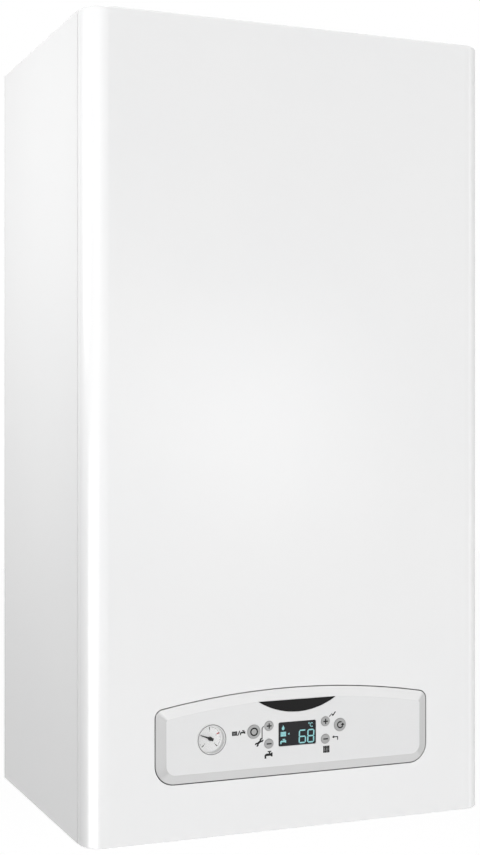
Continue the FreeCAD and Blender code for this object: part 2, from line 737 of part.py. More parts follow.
def make_top_panel():
    """Top sheet with a front lip and the hole of the air collar."""
    height = (CASE_HEIGHT - CASE_SHEET, CASE_HEIGHT)
    sheet = slab(INNER_HALF, (0, PANEL_FRONT), height)
    lip_height = (CASE_HEIGHT - PANEL_LIP, CASE_HEIGHT)
    lip = slab(CASE_HALF - PANEL_LIP, (PANEL_FRONT - CASE_SHEET, PANEL_FRONT), lip_height)
    hole = rod((0, CHAMBER_MIDDLE, height[0]), UP, COLLAR_RADIUS + LOOSE_FIT, CASE_SHEET)
    return join([sheet, lip]).cut(hole)


def make_bottom_plate():
    """Bottom sheet with the pipe holes and the two tabs for the cover screws."""
    plate = slab(INNER_HALF, (0, PANEL_FRONT), (0, CASE_SHEET))
    tab_x = (SCREW_SPACING / 2 - TAB_WIDTH / 2, SCREW_SPACING / 2 + TAB_WIDTH / 2)
    tab_depth = (PANEL_FRONT - TAB_SEAT, SCREW_DEPTH + TAB_REACH)
    tab = block(tab_x, tab_depth, (CASE_SHEET, 2 * CASE_SHEET))
    screw_hole = rod((SCREW_SPACING / 2, SCREW_DEPTH, 0), UP, SCREW_RADIUS + RUNNING_FIT, 2 * CASE_SHEET)
    holes = both_sides(screw_hole)
    large = LARGE_STUB_RADIUS + STUB_HOLE_CLEARANCE
    small = SMALL_STUB_RADIUS + STUB_HOLE_CLEARANCE
    for step, radius in ((-2, large), (-1, small), (0, large), (1, small), (2, large)):
        holes.append(rod((step * CONNECTION_PITCH, CONNECTION_DEPTH, 0), UP, radius, CASE_SHEET))
    holes.append(rod((FILL_X, CONNECTION_DEPTH, 0), UP, FILL_STEM_RADIUS + HOLE_CLEARANCE, CASE_SHEET))
    outlet_radius = RELIEF_OUTLET_RADIUS + HOLE_CLEARANCE
    holes.append(rod((RELIEF_X, relief_outlet_depth(), 0), UP, outlet_radius, CASE_SHEET))
    return join([plate] + both_sides(tab)).cut(holes)


def make_front_cover():
    """Front shell with rounded upright edges, a hemmed rim and the opening of the fascia."""
    shell = slab(CASE_HALF, (COVER_BACK, CASE_DEPTH), (0, CASE_HEIGHT))
    front_edges = [e for e in shell.Edges if is_along(e, UP) and e.BoundBox.YMin < -COVER_BACK - SEAM_GAP]
    shell = shell.makeFillet(COVER_CORNER_RADIUS, front_edges)
    for level, radius in ((CASE_HEIGHT, COVER_TOP_ROUNDING), (0, COVER_BOTTOM_ROUNDING)):
        z = level - HANG_HEIGHT
        rim = [e for e in shell.Edges if lies_at(e.BoundBox.ZMin, e.BoundBox.ZMax, z)]
        rim = [e for e in rim if e.BoundBox.YMin < -COVER_BACK - SEAM_GAP]
        shell = shell.makeFillet(radius, rim)
    inside_depth = (COVER_BACK + CASE_SHEET, CASE_DEPTH - CASE_SHEET)
    inside_height = (CASE_SHEET, CASE_HEIGHT - CASE_SHEET)
    inside = slab(CASE_HALF - CASE_SHEET, inside_depth, inside_height)
    inner_edges = [e for e in inside.Edges if is_along(e, UP)]
    inner_edges = [e for e in inner_edges if e.BoundBox.YMin < -inside_depth[0] - SEAM_GAP]
    inside = inside.makeFillet(COVER_CORNER_RADIUS - CASE_SHEET, inner_edges)
    mouth_height = (CASE_SHEET, CASE_HEIGHT - PANEL_LIP)
    mouth = slab(CASE_HALF - PANEL_LIP, (COVER_BACK, inside_depth[0]), mouth_height)
    opening = fascia_prism(FASCIA_GAP, inside_depth[1], CASE_DEPTH)
    slot_half = SCREW_RADIUS + LOOSE_FIT
    slot_x = (SCREW_SPACING / 2 - slot_half, SCREW_SPACING / 2 + slot_half)
    slot = block(slot_x, (COVER_BACK, SCREW_DEPTH), (0, CASE_SHEET))
    slot_end = rod((SCREW_SPACING / 2, SCREW_DEPTH, 0), UP, slot_half, CASE_SHEET)
    return shell.cut([inside, mouth, opening] + both_sides(slot) + both_sides(slot_end))


def make_cover_seal():
    """Foam strip between the lips of the panels and the hem of the cover."""
    depth = (PANEL_FRONT, COVER_BACK)
    outer_half = CASE_HALF - SEAL_INSET
    outer_top = CASE_HEIGHT - SEAL_INSET
    outer = slab(outer_half, depth, (CASE_SHEET, outer_top))
    return outer.cut(slab(outer_half - SEAL_WIDTH, depth, (CASE_SHEET, outer_top - SEAL_WIDTH)))


def make_cover_screws():
    """Two screws that clamp the bottom flange of the cover to the tabs."""
    x = SCREW_SPACING / 2
    top = -LOOSE_FIT / 2
    head = rod((x, SCREW_DEPTH, top), DOWN, SCREW_HEAD_RADIUS, SCREW_HEAD_HEIGHT)
    shank = rod((x, SCREW_DEPTH, top), UP, SCREW_RADIUS, SCREW_LENGTH)
    slot = block((x - SCREW_HEAD_RADIUS, x + SCREW_HEAD_RADIUS),
                 (SCREW_DEPTH - SCREW_RADIUS / 3, SCREW_DEPTH + SCREW_RADIUS / 3),
                 (top - SCREW_HEAD_HEIGHT, top - SCREW_HEAD_HEIGHT * 2 / 3))
    return both_sides(join([head, shank]).cut(slot))


# Control panel pieces


def make_control_fascia():
    """Raised panel with a bevelled rim, holes for what it carries and a hollow back."""
    skirt = fascia_prism(0, BOX_FRONT, CASE_DEPTH)
    foot = fascia_outline(0, CASE_DEPTH)
    face = fascia_outline(-FASCIA_BEVEL, FASCIA_FRONT)
    bevel = Part.makeLoft([foot, face], True, True)
    deep_hollow = fascia_prism(-FASCIA_BEVEL - FASCIA_PROUD, BOX_FRONT, FASCIA_INSIDE)
    rim_hollow = fascia_prism(-FASCIA_WALL, BOX_FRONT, CASE_DEPTH - FASCIA_WALL)
    cuts = [deep_hollow, rim_hollow]
    for x, height, radius in BUTTONS.values():
        cuts.append(rod((x, BOX_FRONT, height), FORWARD, radius + LOOSE_FIT, FASCIA_FRONT - BOX_FRONT))
    gauge_radius = GAUGE_CASE_RADIUS + LOOSE_FIT
    cuts.append(rod((GAUGE_X, BOX_FRONT, GAUGE_HEIGHT), FORWARD, gauge_radius, FASCIA_FRONT - BOX_FRONT))
    cuts.append(display_shape(LOOSE_FIT, BOX_FRONT, FASCIA_FRONT))
    cuts.append(badge_shape(LOOSE_FIT, FASCIA_FRONT - BADGE_RECESS, FASCIA_FRONT + FASCIA_PROUD))
    return join([skirt, bevel]).cut(cuts)


def make_button(x, height, radius):
    """Button cap with a retaining flange and a stem behind the fascia."""
    flange_front = FASCIA_INSIDE - LOOSE_FIT
    flange_back = flange_front - BUTTON_FLANGE_THICKNESS
    cap_length = FASCIA_FRONT + BUTTON_PROUD - flange_back
    cap = rod((x, flange_back, height), FORWARD, radius, cap_length)
    front = -(FASCIA_FRONT + BUTTON_PROUD)
    cap = cap.makeFillet(BUTTON_EDGE, [e for e in cap.Edges if abs(e.BoundBox.YMax - front) < 0.01])
    flange = rod((x, flange_back, height), FORWARD, radius + BUTTON_FLANGE, BUTTON_FLANGE_THICKNESS)
    stem = rod((x, BUTTON_STEM_END, height), FORWARD, BUTTON_STEM_RADIUS, BUTTON_STEM)
    return join([cap, flange, stem])


def make_display_window():
    """Clear window that fills the display opening."""
    front = FASCIA_FRONT - WINDOW_SETBACK
    return display_shape(0, front - WINDOW_THICKNESS, front)


def make_badge_plate():
    """Glossy plate in its recess under the arch of the fascia."""
    back = FASCIA_FRONT - BADGE_RECESS
    return badge_shape(0, back, back + BADGE_THICKNESS)


def gauge_back():
    """Depth of the rear end of the manometer."""
    return FASCIA_FRONT - GAUGE_CASE_LENGTH


def dial_front():
    """Depth of the printed face of the manometer dial."""
    return FASCIA_FRONT - GAUGE_DIAL_SETBACK


def make_gauge_case():
    """Cup with a front ring, and the movement with the dial and its spindle."""
    back = gauge_back()
    bore = GAUGE_CASE_RADIUS - GAUGE_CASE_WALL
    axis_at = (GAUGE_X, back, GAUGE_HEIGHT)
    cup = rod(axis_at, FORWARD, GAUGE_CASE_RADIUS, GAUGE_CASE_LENGTH)
    ring = rod((GAUGE_X, FASCIA_FRONT, GAUGE_HEIGHT), FORWARD, GAUGE_RING_RADIUS, GAUGE_RING_PROUD)
    hollow_length = GAUGE_CASE_LENGTH - GAUGE_FLOOR + GAUGE_RING_PROUD
    hollow = rod((GAUGE_X, back + GAUGE_FLOOR, GAUGE_HEIGHT), FORWARD, bore, hollow_length)
    case = join([cup, ring]).cut(hollow)
    dial_back = dial_front() - GAUGE_DIAL_THICKNESS
    body_length = dial_back - back - GAUGE_FLOOR
    body = rod((GAUGE_X, back + GAUGE_FLOOR, GAUGE_HEIGHT), FORWARD, GAUGE_MOVEMENT_RADIUS, body_length)
    dial_radius = bore - RUNNING_FIT
    dial = rod((GAUGE_X, dial_back, GAUGE_HEIGHT), FORWARD, dial_radius, GAUGE_DIAL_THICKNESS)
    spindle = rod((GAUGE_X, dial_front(), GAUGE_HEIGHT), FORWARD, SPINDLE_RADIUS, SPINDLE_LENGTH)
    return [case, join([body, dial, spindle])]


def make_gauge_needle():
    """Needle with its hub on the spindle, pointing at one bar."""
    back = dial_front() + NEEDLE_LIFT
    hub = rod((GAUGE_X, back, GAUGE_HEIGHT), FORWARD, NEEDLE_HUB_RADIUS, NEEDLE_HUB_LENGTH)
    tip = point(GAUGE_X + NEEDLE_REACH, back, GAUGE_HEIGHT)
    tail_low = point(GAUGE_X - NEEDLE_TAIL, back, GAUGE_HEIGHT - NEEDLE_WIDTH)
    tail_high = point(GAUGE_X - NEEDLE_TAIL, back, GAUGE_HEIGHT + NEEDLE_WIDTH)
    blade = Part.Face(Part.makePolygon([tail_low, tip, tail_high, tail_low]))
    blade = blade.extrude(FORWARD * NEEDLE_THICKNESS)
    blade.rotate(point(GAUGE_X, back, GAUGE_HEIGHT), FORWARD, NEEDLE_REST_ANGLE)
    bore_radius = SPINDLE_RADIUS + RUNNING_FIT
    bore = rod((GAUGE_X, back, GAUGE_HEIGHT), FORWARD, bore_radius, NEEDLE_HUB_LENGTH)
    return join([hub, blade]).cut(bore)


def make_gauge_glass():
    """Clear disc in the front of the manometer case."""
    radius = GAUGE_CASE_RADIUS - GAUGE_CASE_WALL - RUNNING_FIT
    back = FASCIA_FRONT - GAUGE_GLASS_THICKNESS
    return rod((GAUGE_X, back, GAUGE_HEIGHT), FORWARD, radius, GAUGE_GLASS_THICKNESS)


def make_control_box():
    """Box that is open to the back, with hinge bosses and posts for the display board."""
    height = (BOX_BOTTOM, BOX_TOP)
    outer = rounded(slab(BOX_HALF, (BOX_BACK, BOX_FRONT), height), FORWARD, BOX_CORNER)
    inner_height = (BOX_BOTTOM + BOX_WALL, BOX_TOP - BOX_WALL)
    inner = slab(BOX_HALF - BOX_WALL, (BOX_BACK, BOX_FRONT - BOX_WALL), inner_height)
    inner = rounded(inner, FORWARD, BOX_CORNER - BOX_WALL)
    boss_length = BOX_WALL + HINGE_BOSS_LENGTH
    boss = rod((BOX_HALF - boss_length, HINGE_DEPTH, HINGE_HEIGHT), RIGHT, HINGE_BOSS_RADIUS, boss_length)
    bore_radius = HINGE_PIN_RADIUS + RUNNING_FIT
    bore = rod((BOX_HALF - boss_length, HINGE_DEPTH, HINGE_HEIGHT), RIGHT, bore_radius, boss_length)
    posts = []
    for x in (-DISPLAY_BOARD_HALF_WIDTH + POST_MARGIN, DISPLAY_BOARD_HALF_WIDTH - POST_MARGIN):
        for level in (DISPLAY_BOARD_BOTTOM + POST_MARGIN, DISPLAY_BOARD_TOP - POST_MARGIN):
            posts.append(rod((x, BOX_FRONT, level), FORWARD, POST_RADIUS, DISPLAY_BOARD_POST))
    body = join([outer.cut(inner)] + both_sides(boss) + posts)
    return body.cut(both_sides(bore))


def main_board_corners():
    """Half width and height range of the main board."""
    half = BOX_HALF - MAIN_BOARD_MARGIN
    return half, (BOX_BOTTOM + MAIN_BOARD_MARGIN / 2, BOX_TOP - MAIN_BOARD_MARGIN / 2)


def make_control_box_cover():
    """Rear lid of the control box, with air slots and posts for the main board."""
    lid = slab(BOX_HALF, (BOX_BACK - BOX_WALL, BOX_BACK), (BOX_BOTTOM, BOX_TOP))
    lid = rounded(lid, FORWARD, BOX_CORNER)
    half, height = main_board_corners()
    posts = []
    for x in (-half + POST_MARGIN, half - POST_MARGIN):
        for level in (height[0] + POST_MARGIN, height[1] - POST_MARGIN):
            posts.append(rod((x, BOX_BACK, level), FORWARD, POST_RADIUS, MAIN_BOARD_POST))
    middle = (BOX_BOTTOM + BOX_TOP) / 2
    slots = []
    for i in range(VENT_COUNT):
        x = VENT_PITCH * (i - (VENT_COUNT - 1) / 2)
        slot_x = (x - VENT_WIDTH / 2, x + VENT_WIDTH / 2)
        slot_height = (middle - VENT_HEIGHT / 2, middle + VENT_HEIGHT / 2)
        slots.append(block(slot_x, (BOX_BACK - BOX_WALL, BOX_BACK), slot_height))
    return join([lid] + posts).cut(slots)


def make_circuit_boards():
    """Main board and display board with the larger parts that sit on them."""
    half, height = main_board_corners()
    back = BOX_BACK + MAIN_BOARD_POST
    face = back + BOARD_THICKNESS
    middle = (height[0] + height[1]) / 2
    pieces = [slab(half, (back, face), height)]

    def on_main(x, level, size):
        box_x = (x - size[0] / 2, x + size[0] / 2)
        return block(box_x, (face, face + size[1]), (level - size[2] / 2, level + size[2] / 2))

    pieces.append(on_main(-half / 2, middle, TRANSFORMER))
    for i in range(RELAY_COUNT):
        pieces.append(on_main(RELAY_PITCH * i, middle, RELAY))
    capacitor_start = (half / 2 + TRANSFORMER[0] / 2, face, middle)
    pieces.append(rod(capacitor_start, FORWARD, CAPACITOR_RADIUS, CAPACITOR_LENGTH))
    for i in range(CONNECTOR_COUNT):
        x = CONNECTOR_PITCH * (i - (CONNECTOR_COUNT - 1) / 2)
        pieces.append(on_main(x, height[0] + CONNECTOR[2], CONNECTOR))
    display_back = BOX_FRONT + DISPLAY_BOARD_POST
    display_face = display_back + BOARD_THICKNESS
    display_height = (DISPLAY_BOARD_BOTTOM, DISPLAY_BOARD_TOP)
    pieces.append(slab(DISPLAY_BOARD_HALF_WIDTH, (display_back, display_face), display_height))
    module_front = FASCIA_FRONT - WINDOW_SETBACK - WINDOW_THICKNESS
    pieces.append(display_shape(0, display_face, module_front))
    switch_front = BUTTON_STEM_END - BUTTON_TRAVEL - SWITCH_GAP
    for x, level, _ in BUTTONS.values():
        switch_x = (x - SWITCH_SIDE / 2, x + SWITCH_SIDE / 2)
        switch_height = (level - SWITCH_SIDE / 2, level + SWITCH_SIDE / 2)
        pieces.append(block(switch_x, (display_face, switch_front), switch_height))
    return pieces


def make_hinge_brackets():
    """Upright ears on the bottom plate, each with the pin that the control box turns on."""
    inner = BOX_HALF + HINGE_GAP
    outer = inner + BRACKET_SHEET
    foot_end = BRACKET_FOOT_START + BRACKET_FOOT_LENGTH
    nose = HINGE_DEPTH + HINGE_BOSS_RADIUS
    top = HINGE_HEIGHT + HINGE_BOSS_RADIUS
    corners = [
        point(inner, BRACKET_FOOT_START, CASE_SHEET),
        point(inner, foot_end, CASE_SHEET),
        point(inner, foot_end, BRACKET_NOSE_HEIGHT),
        point(inner, nose, HINGE_HEIGHT - HINGE_BOSS_RADIUS),
        point(inner, nose, top),
        point(inner, HINGE_DEPTH - HINGE_BOSS_RADIUS, top),
    ]
    ear = Part.Face(Part.makePolygon(corners + corners[:1])).extrude(RIGHT * BRACKET_SHEET)
    foot_height = (CASE_SHEET, CASE_SHEET + BRACKET_SHEET)
    foot = block((inner, inner + BRACKET_FOOT), (BRACKET_FOOT_START, foot_end), foot_height)
    pin_length = BOX_WALL + HINGE_BOSS_LENGTH + HINGE_GAP + BRACKET_SHEET
    pin = rod((outer, HINGE_DEPTH, HINGE_HEIGHT), LEFT, HINGE_PIN_RADIUS, pin_length)
    return both_sides(join([ear, foot, pin]))


# Sealed chamber pieces


def chamber_pipe_holes():
    """Clearance holes of the two heating pipes and the gas riser in the chamber floor."""
    pipe_radius = PIPE_RADIUS + HOLE_CLEARANCE
    riser_radius = GAS_RISER_RADIUS + HOLE_CLEARANCE
    return [
        rod((RISER_X, TUBE_DEPTHS[0], CHAMBER_BOTTOM), UP, pipe_radius, CHAMBER_SHEET),
        rod((-RISER_X, TUBE_DEPTHS[-1], CHAMBER_BOTTOM), UP, pipe_radius, CHAMBER_SHEET),
        rod((0, MANIFOLD_DEPTH, CHAMBER_BOTTOM), UP, riser_radius, CHAMBER_SHEET),
    ]


def make_chamber_box():
    """Airtight box that is open at the front, with a flange for the gasket of its lid."""
    depth = (FRAME_DEPTH, CHAMBER_FRONT)
    outer = slab(CHAMBER_HALF, depth, (CHAMBER_BOTTOM, CHAMBER_TOP))
    flange_height = (CHAMBER_BOTTOM - CHAMBER_FLANGE, CHAMBER_TOP + CHAMBER_FLANGE)
    flange_depth = (CHAMBER_FRONT - CHAMBER_SHEET, CHAMBER_FRONT)
    flange = slab(CHAMBER_HALF + CHAMBER_FLANGE, flange_depth, flange_height)
    inner_height = (CHAMBER_FLOOR, CHAMBER_TOP - CHAMBER_SHEET)
    inner = slab(CHAMBER_HALF - CHAMBER_SHEET, (FRAME_DEPTH + CHAMBER_SHEET, CHAMBER_FRONT), inner_height)
    hole_start = (0, CHAMBER_MIDDLE, CHAMBER_TOP - CHAMBER_SHEET)
    air_hole = rod(hole_start, UP, COLLAR_RADIUS - COLLAR_WALL, CHAMBER_SHEET)
    return join([outer, flange]).cut([inner, air_hole] + chamber_pipe_holes())


def make_lid_gasket():
    """Soft frame between the chamber flange and the lid."""
    depth = (CHAMBER_FRONT, LID_BACK)
    half = CHAMBER_HALF + CHAMBER_FLANGE
    low = CHAMBER_BOTTOM - CHAMBER_FLANGE
    high = CHAMBER_TOP + CHAMBER_FLANGE
    inner = slab(half - GASKET_WIDTH, depth, (low + GASKET_WIDTH, high - GASKET_WIDTH))
    return slab(half, depth, (low, high)).cut(inner)


def make_chamber_lid():
    """Pressed lid of the chamber with a raised middle and the hole of the sight glass."""
    half = CHAMBER_HALF + CHAMBER_FLANGE
    low = CHAMBER_BOTTOM - CHAMBER_FLANGE
    high = CHAMBER_TOP + CHAMBER_FLANGE
    sheet = slab(half, (LID_BACK, LID_BACK + LID_SHEET), (low, high))
    raised_height = (low + LID_MARGIN, high - LID_MARGIN)
    raised = slab(half - LID_MARGIN, (LID_BACK, LID_BACK + LID_RAISE), raised_height)
    raised = rounded(raised, FORWARD, LID_CORNER)
    hollow_half = half - LID_MARGIN - LID_SHEET
    hollow_height = (raised_height[0] + LID_SHEET, raised_height[1] - LID_SHEET)
    hollow = slab(hollow_half, (LID_BACK, LID_BACK + LID_RAISE - LID_SHEET), hollow_height)
    hollow = rounded(hollow, FORWARD, LID_CORNER - LID_SHEET)
    hole = rod((0, LID_BACK, SIGHT_HEIGHT), FORWARD, SIGHT_HOLE_RADIUS, LID_RAISE)
    return join([sheet, raised]).cut([hollow, hole])


def make_sight_glass():
    """Round glass behind the hole in the lid."""
    back = LID_BACK + LID_RAISE - LID_SHEET - SIGHT_GLASS_THICKNESS
    return rod((0, back, SIGHT_HEIGHT), FORWARD, SIGHT_GLASS_RADIUS, SIGHT_GLASS_THICKNESS)


def firebox_depth(inset):
    """Depth range of the firebox, moved inwards by an inset."""
    return (CHAMBER_MIDDLE - FIREBOX_HALF_DEPTH + inset, CHAMBER_MIDDLE + FIREBOX_HALF_DEPTH - inset)


def electrode_height():
    """Height of the electrodes, just above the burner bars."""
    return BAR_TOP + ELECTRODE_LIFT


def electrode_holes():
    """Holes of the electrodes through the front of the firebox."""
    length = FIREBOX_SHEET + BOARD_INSULATION
    front = firebox_depth(0)[1]
    radius = ELECTRODE_RADIUS + LOOSE_FIT
    return [rod((x, front - length, electrode_height()), FORWARD, radius, length) for x in ELECTRODE_X]


def make_firebox():
    """Sheet walls round the flame, standing on the chamber floor, open below at front and back."""
    outer = slab(FIREBOX_HALF, firebox_depth(0), (CHAMBER_FLOOR, CORE_BOTTOM))
    inner = slab(FIREBOX_HALF - FIREBOX_SHEET, firebox_depth(FIREBOX_SHEET), (CHAMBER_FLOOR, CORE_BOTTOM))
    window = slab(FIREBOX_HALF - FIREBOX_SHEET, firebox_depth(0), (CHAMBER_FLOOR, FIREBOX_BOTTOM))
    return outer.cut([inner, window] + electrode_holes())


def make_insulation_boards():
    """Four fibre boards that line the firebox and carry the exchanger."""
    height = (FIREBOX_BOTTOM, CORE_BOTTOM)
    outer_half = FIREBOX_HALF - FIREBOX_SHEET
    inner_half = outer_half - BOARD_INSULATION
    depth = firebox_depth(FIREBOX_SHEET)
    side = block((inner_half, outer_half), depth, height)
    back = slab(inner_half, (depth[0], depth[0] + BOARD_INSULATION), height)
    front = slab(inner_half, (depth[1] - BOARD_INSULATION, depth[1]), height)
    return both_sides(side) + [back, front.cut(electrode_holes())]


def make_exchanger_core():
    """Stack of fins between two end plates, drilled for the tubes."""
    depth = (CHAMBER_MIDDLE - CORE_HALF_DEPTH, CHAMBER_MIDDLE + CORE_HALF_DEPTH)
    height = (CORE_BOTTOM, CORE_TOP)
    end_inside = CORE_HALF - CORE_END_PLATE
    plate = block((end_inside, CORE_HALF), depth, height)
    radius = TUBE_RADIUS + RUNNING_FIT
    holes = [rod((-CORE_HALF, d, TUBE_HEIGHT), RIGHT, radius, 2 * CORE_HALF) for d in TUBE_DEPTHS]
    pieces = [shape.cut(holes) for shape in both_sides(plate)]
    pitch = 2 * end_inside / (FIN_COUNT + 1)
    for i in range(FIN_COUNT):
        x = pitch * (i - (FIN_COUNT - 1) / 2)
        fin = block((x - FIN_THICKNESS / 2, x + FIN_THICKNESS / 2), depth, height)
        pieces.append(fin.cut(holes))
    return pieces


def make_exchanger_tubes():
    """One tube that runs through the fins and back in a serpentine."""
    turn = CORE_HALF + TUBE_PITCH / 2 + TUBE_BEND_ROOM
    points = [point(TUBE_TAIL, TUBE_DEPTHS[0], TUBE_HEIGHT)]
    side = -1
    for first, second in zip(TUBE_DEPTHS, TUBE_DEPTHS[1:]):
        points.append(point(side * turn, first, TUBE_HEIGHT))
        points.append(point(side * turn, second, TUBE_HEIGHT))
        side = -side
    points.append(point(side * TUBE_TAIL, TUBE_DEPTHS[-1], TUBE_HEIGHT))
    return bent_tube(points, TUBE_PITCH / 2, TUBE_RADIUS, TUBE_WALL)


def rectangle(x, depth, height):
    """Closed outline at one height."""
    corners = [point(x[0], depth[0], height), point(x[1], depth[0], height)]
    corners += [point(x[1], depth[1], height), point(x[0], depth[1], height)]
    return Part.makePolygon(corners + corners[:1])


def hood_body(inset):
    """Hood that tapers from the exchanger to an upright plenum, moved inwards by an inset."""
    base_half = CORE_HALF - inset
    base_depth = (CHAMBER_MIDDLE - CORE_HALF_DEPTH + inset, CHAMBER_MIDDLE + CORE_HALF_DEPTH - inset)
    neck_x = (FAN_X - PLENUM_HALF + inset, FAN_X + PLENUM_HALF - inset)
    neck_depth = (FAN_BACK - PLENUM_LENGTH + inset, FAN_BACK - inset)
    neck_height = CORE_TOP + HOOD_RISE
    base = rectangle((-base_half, base_half), base_depth, CORE_TOP)
    neck = rectangle(neck_x, neck_depth, neck_height)
    taper = Part.makeLoft([base, neck], True, True)
    plenum = block(neck_x, neck_depth, (neck_height, FAN_HEIGHT + PLENUM_HALF - inset))
    return join([taper, plenum])


def make_flue_hood():
    """Sheet hood with a round hole to the fan inlet."""
    hole = rod((FAN_X, FAN_BACK - HOOD_SHEET, FAN_HEIGHT), FORWARD, FAN_INLET_RADIUS, HOOD_SHEET)
    return hood_body(0).cut([hood_body(HOOD_SHEET), hole])


def make_fan_housing():
    """Round casing with an outlet duct that leads straight up to the flue."""
    drum = rod((FAN_X, FAN_BACK, FAN_HEIGHT), FORWARD, FAN_RADIUS, FAN_LENGTH)
    duct_depth = (CHAMBER_MIDDLE - DUCT_HALF, CHAMBER_MIDDLE + DUCT_HALF)
    duct = slab(DUCT_HALF, duct_depth, (FAN_HEIGHT, DUCT_TOP))
    flange_depth = (CHAMBER_MIDDLE - DUCT_FLANGE_HALF, CHAMBER_MIDDLE + DUCT_FLANGE_HALF)
    flange = slab(DUCT_FLANGE_HALF, flange_depth, (DUCT_TOP - DUCT_FLANGE_THICKNESS, DUCT_TOP))
    hollow_start = (FAN_X, FAN_BACK + FAN_WALL, FAN_HEIGHT)
    hollow = rod(hollow_start, FORWARD, FAN_RADIUS - FAN_WALL, FAN_LENGTH - 2 * FAN_WALL)
    duct_hollow_depth = (duct_depth[0] + FAN_WALL, duct_depth[1] - FAN_WALL)
    duct_hollow = slab(DUCT_HALF - FAN_WALL, duct_hollow_depth, (FAN_HEIGHT, DUCT_TOP))
    inlet = rod((FAN_X, FAN_BACK, FAN_HEIGHT), FORWARD, FAN_INLET_RADIUS, FAN_WALL)
    shaft_radius = FAN_SHAFT_RADIUS + HOLE_CLEARANCE
    shaft_hole = rod((FAN_X, FAN_FRONT - FAN_WALL, FAN_HEIGHT), FORWARD, shaft_radius, FAN_WALL)
    return join([drum, duct, flange]).cut([hollow, duct_hollow, inlet, shaft_hole])


def make_fan_wheel():
    """Bladed wheel on the shaft of the fan motor."""
    ring_back = FAN_BACK + WHEEL_GAP
    plate_front = FAN_FRONT - WHEEL_GAP
    plate_back = plate_front - WHEEL_PLATE
    plate = rod((FAN_X, plate_back, FAN_HEIGHT), FORWARD, WHEEL_RADIUS, WHEEL_PLATE)
    ring = rod((FAN_X, ring_back, FAN_HEIGHT), FORWARD, WHEEL_RADIUS, WHEEL_PLATE)
    eye = WHEEL_RADIUS - WHEEL_BLADE_DEPTH
    ring = ring.cut(rod((FAN_X, ring_back, FAN_HEIGHT), FORWARD, eye, WHEEL_PLATE))
    hub_back = plate_front - WHEEL_HUB_LENGTH
    hub = rod((FAN_X, hub_back, FAN_HEIGHT), FORWARD, WHEEL_HUB_RADIUS, WHEEL_HUB_LENGTH)
    shaft_length = FAN_FRONT + FAN_SHAFT_REACH - hub_back
    shaft = rod((FAN_X, hub_back, FAN_HEIGHT), FORWARD, FAN_SHAFT_RADIUS, shaft_length)
    centre = point(FAN_X, ring_back, FAN_HEIGHT)
    outer = FAN_HEIGHT + WHEEL_RADIUS - WHEEL_BLADE_THICKNESS
    blade_x = (FAN_X - WHEEL_BLADE_THICKNESS / 2, FAN_X + WHEEL_BLADE_THICKNESS / 2)
    blades = []
    for i in range(WHEEL_BLADE_COUNT):
        blade = block(blade_x, (ring_back, plate_front), (outer - WHEEL_BLADE_DEPTH, outer))
        blade.rotate(point(FAN_X, ring_back, outer), FORWARD, WHEEL_BLADE_ANGLE)
        blade.rotate(centre, FORWARD, 360 * i / WHEEL_BLADE_COUNT)
        blades.append(blade)
    return join([plate, ring, hub, shaft] + blades)


def make_fan_motor():
    """Motor on the front of the fan housing."""
    plate_x = (FAN_X - FAN_MOTOR_PLATE_HALF, FAN_X + FAN_MOTOR_PLATE_HALF)
    plate_height = (FAN_HEIGHT - FAN_MOTOR_PLATE_HALF, FAN_HEIGHT + FAN_MOTOR_PLATE_HALF)
    plate = block(plate_x, (FAN_FRONT, FAN_FRONT + FAN_MOTOR_PLATE), plate_height)
    body = rod((FAN_X, FAN_FRONT, FAN_HEIGHT), FORWARD, FAN_MOTOR_RADIUS, FAN_MOTOR_LENGTH)
    bore_length = FAN_SHAFT_REACH + HOLE_CLEARANCE
    bore = rod((FAN_X, FAN_FRONT, FAN_HEIGHT), FORWARD, FAN_SHAFT_RADIUS + RUNNING_FIT, bore_length)
    return join([plate, body]).cut(bore)


def make_flue_socket():
    """Inner flue tube on the outlet duct of the fan."""
    flange_depth = (CHAMBER_MIDDLE - DUCT_FLANGE_HALF, CHAMBER_MIDDLE + DUCT_FLANGE_HALF)
    flange = slab(DUCT_FLANGE_HALF, flange_depth, (DUCT_TOP, DUCT_TOP + DUCT_FLANGE_THICKNESS))
    tube = rod((0, CHAMBER_MIDDLE, DUCT_TOP), UP, FLUE_BORE_RADIUS + FLUE_WALL, FLUE_TOP - DUCT_TOP)
    bore = rod((0, CHAMBER_MIDDLE, DUCT_TOP), UP, FLUE_BORE_RADIUS, FLUE_TOP - DUCT_TOP)
    return join([flange, tube]).cut(bore)


def make_flue_collar():
    """Outer air collar that stands on the chamber and is flanged to the top panel."""
    tube = rod((0, CHAMBER_MIDDLE, CHAMBER_TOP), UP, COLLAR_RADIUS, FLUE_TOP - CHAMBER_TOP)
    flange_radius = COLLAR_RADIUS + COLLAR_FLANGE
    flange = rod((0, CHAMBER_MIDDLE, CASE_HEIGHT), UP, flange_radius, COLLAR_FLANGE_THICKNESS)
    bore = rod((0, CHAMBER_MIDDLE, CHAMBER_TOP), UP, COLLAR_RADIUS - COLLAR_WALL, FLUE_TOP - CHAMBER_TOP)
    return join([tube, flange]).cut(bore)


def nipple_places():
    """Depth and height of the two nipples of the pressure switch."""
    return [
        (SWITCH_DEPTH - NIPPLE_OFFSET, SWITCH_HEIGHT + NIPPLE_OFFSET),
        (SWITCH_DEPTH + NIPPLE_OFFSET, SWITCH_HEIGHT - NIPPLE_OFFSET),
    ]


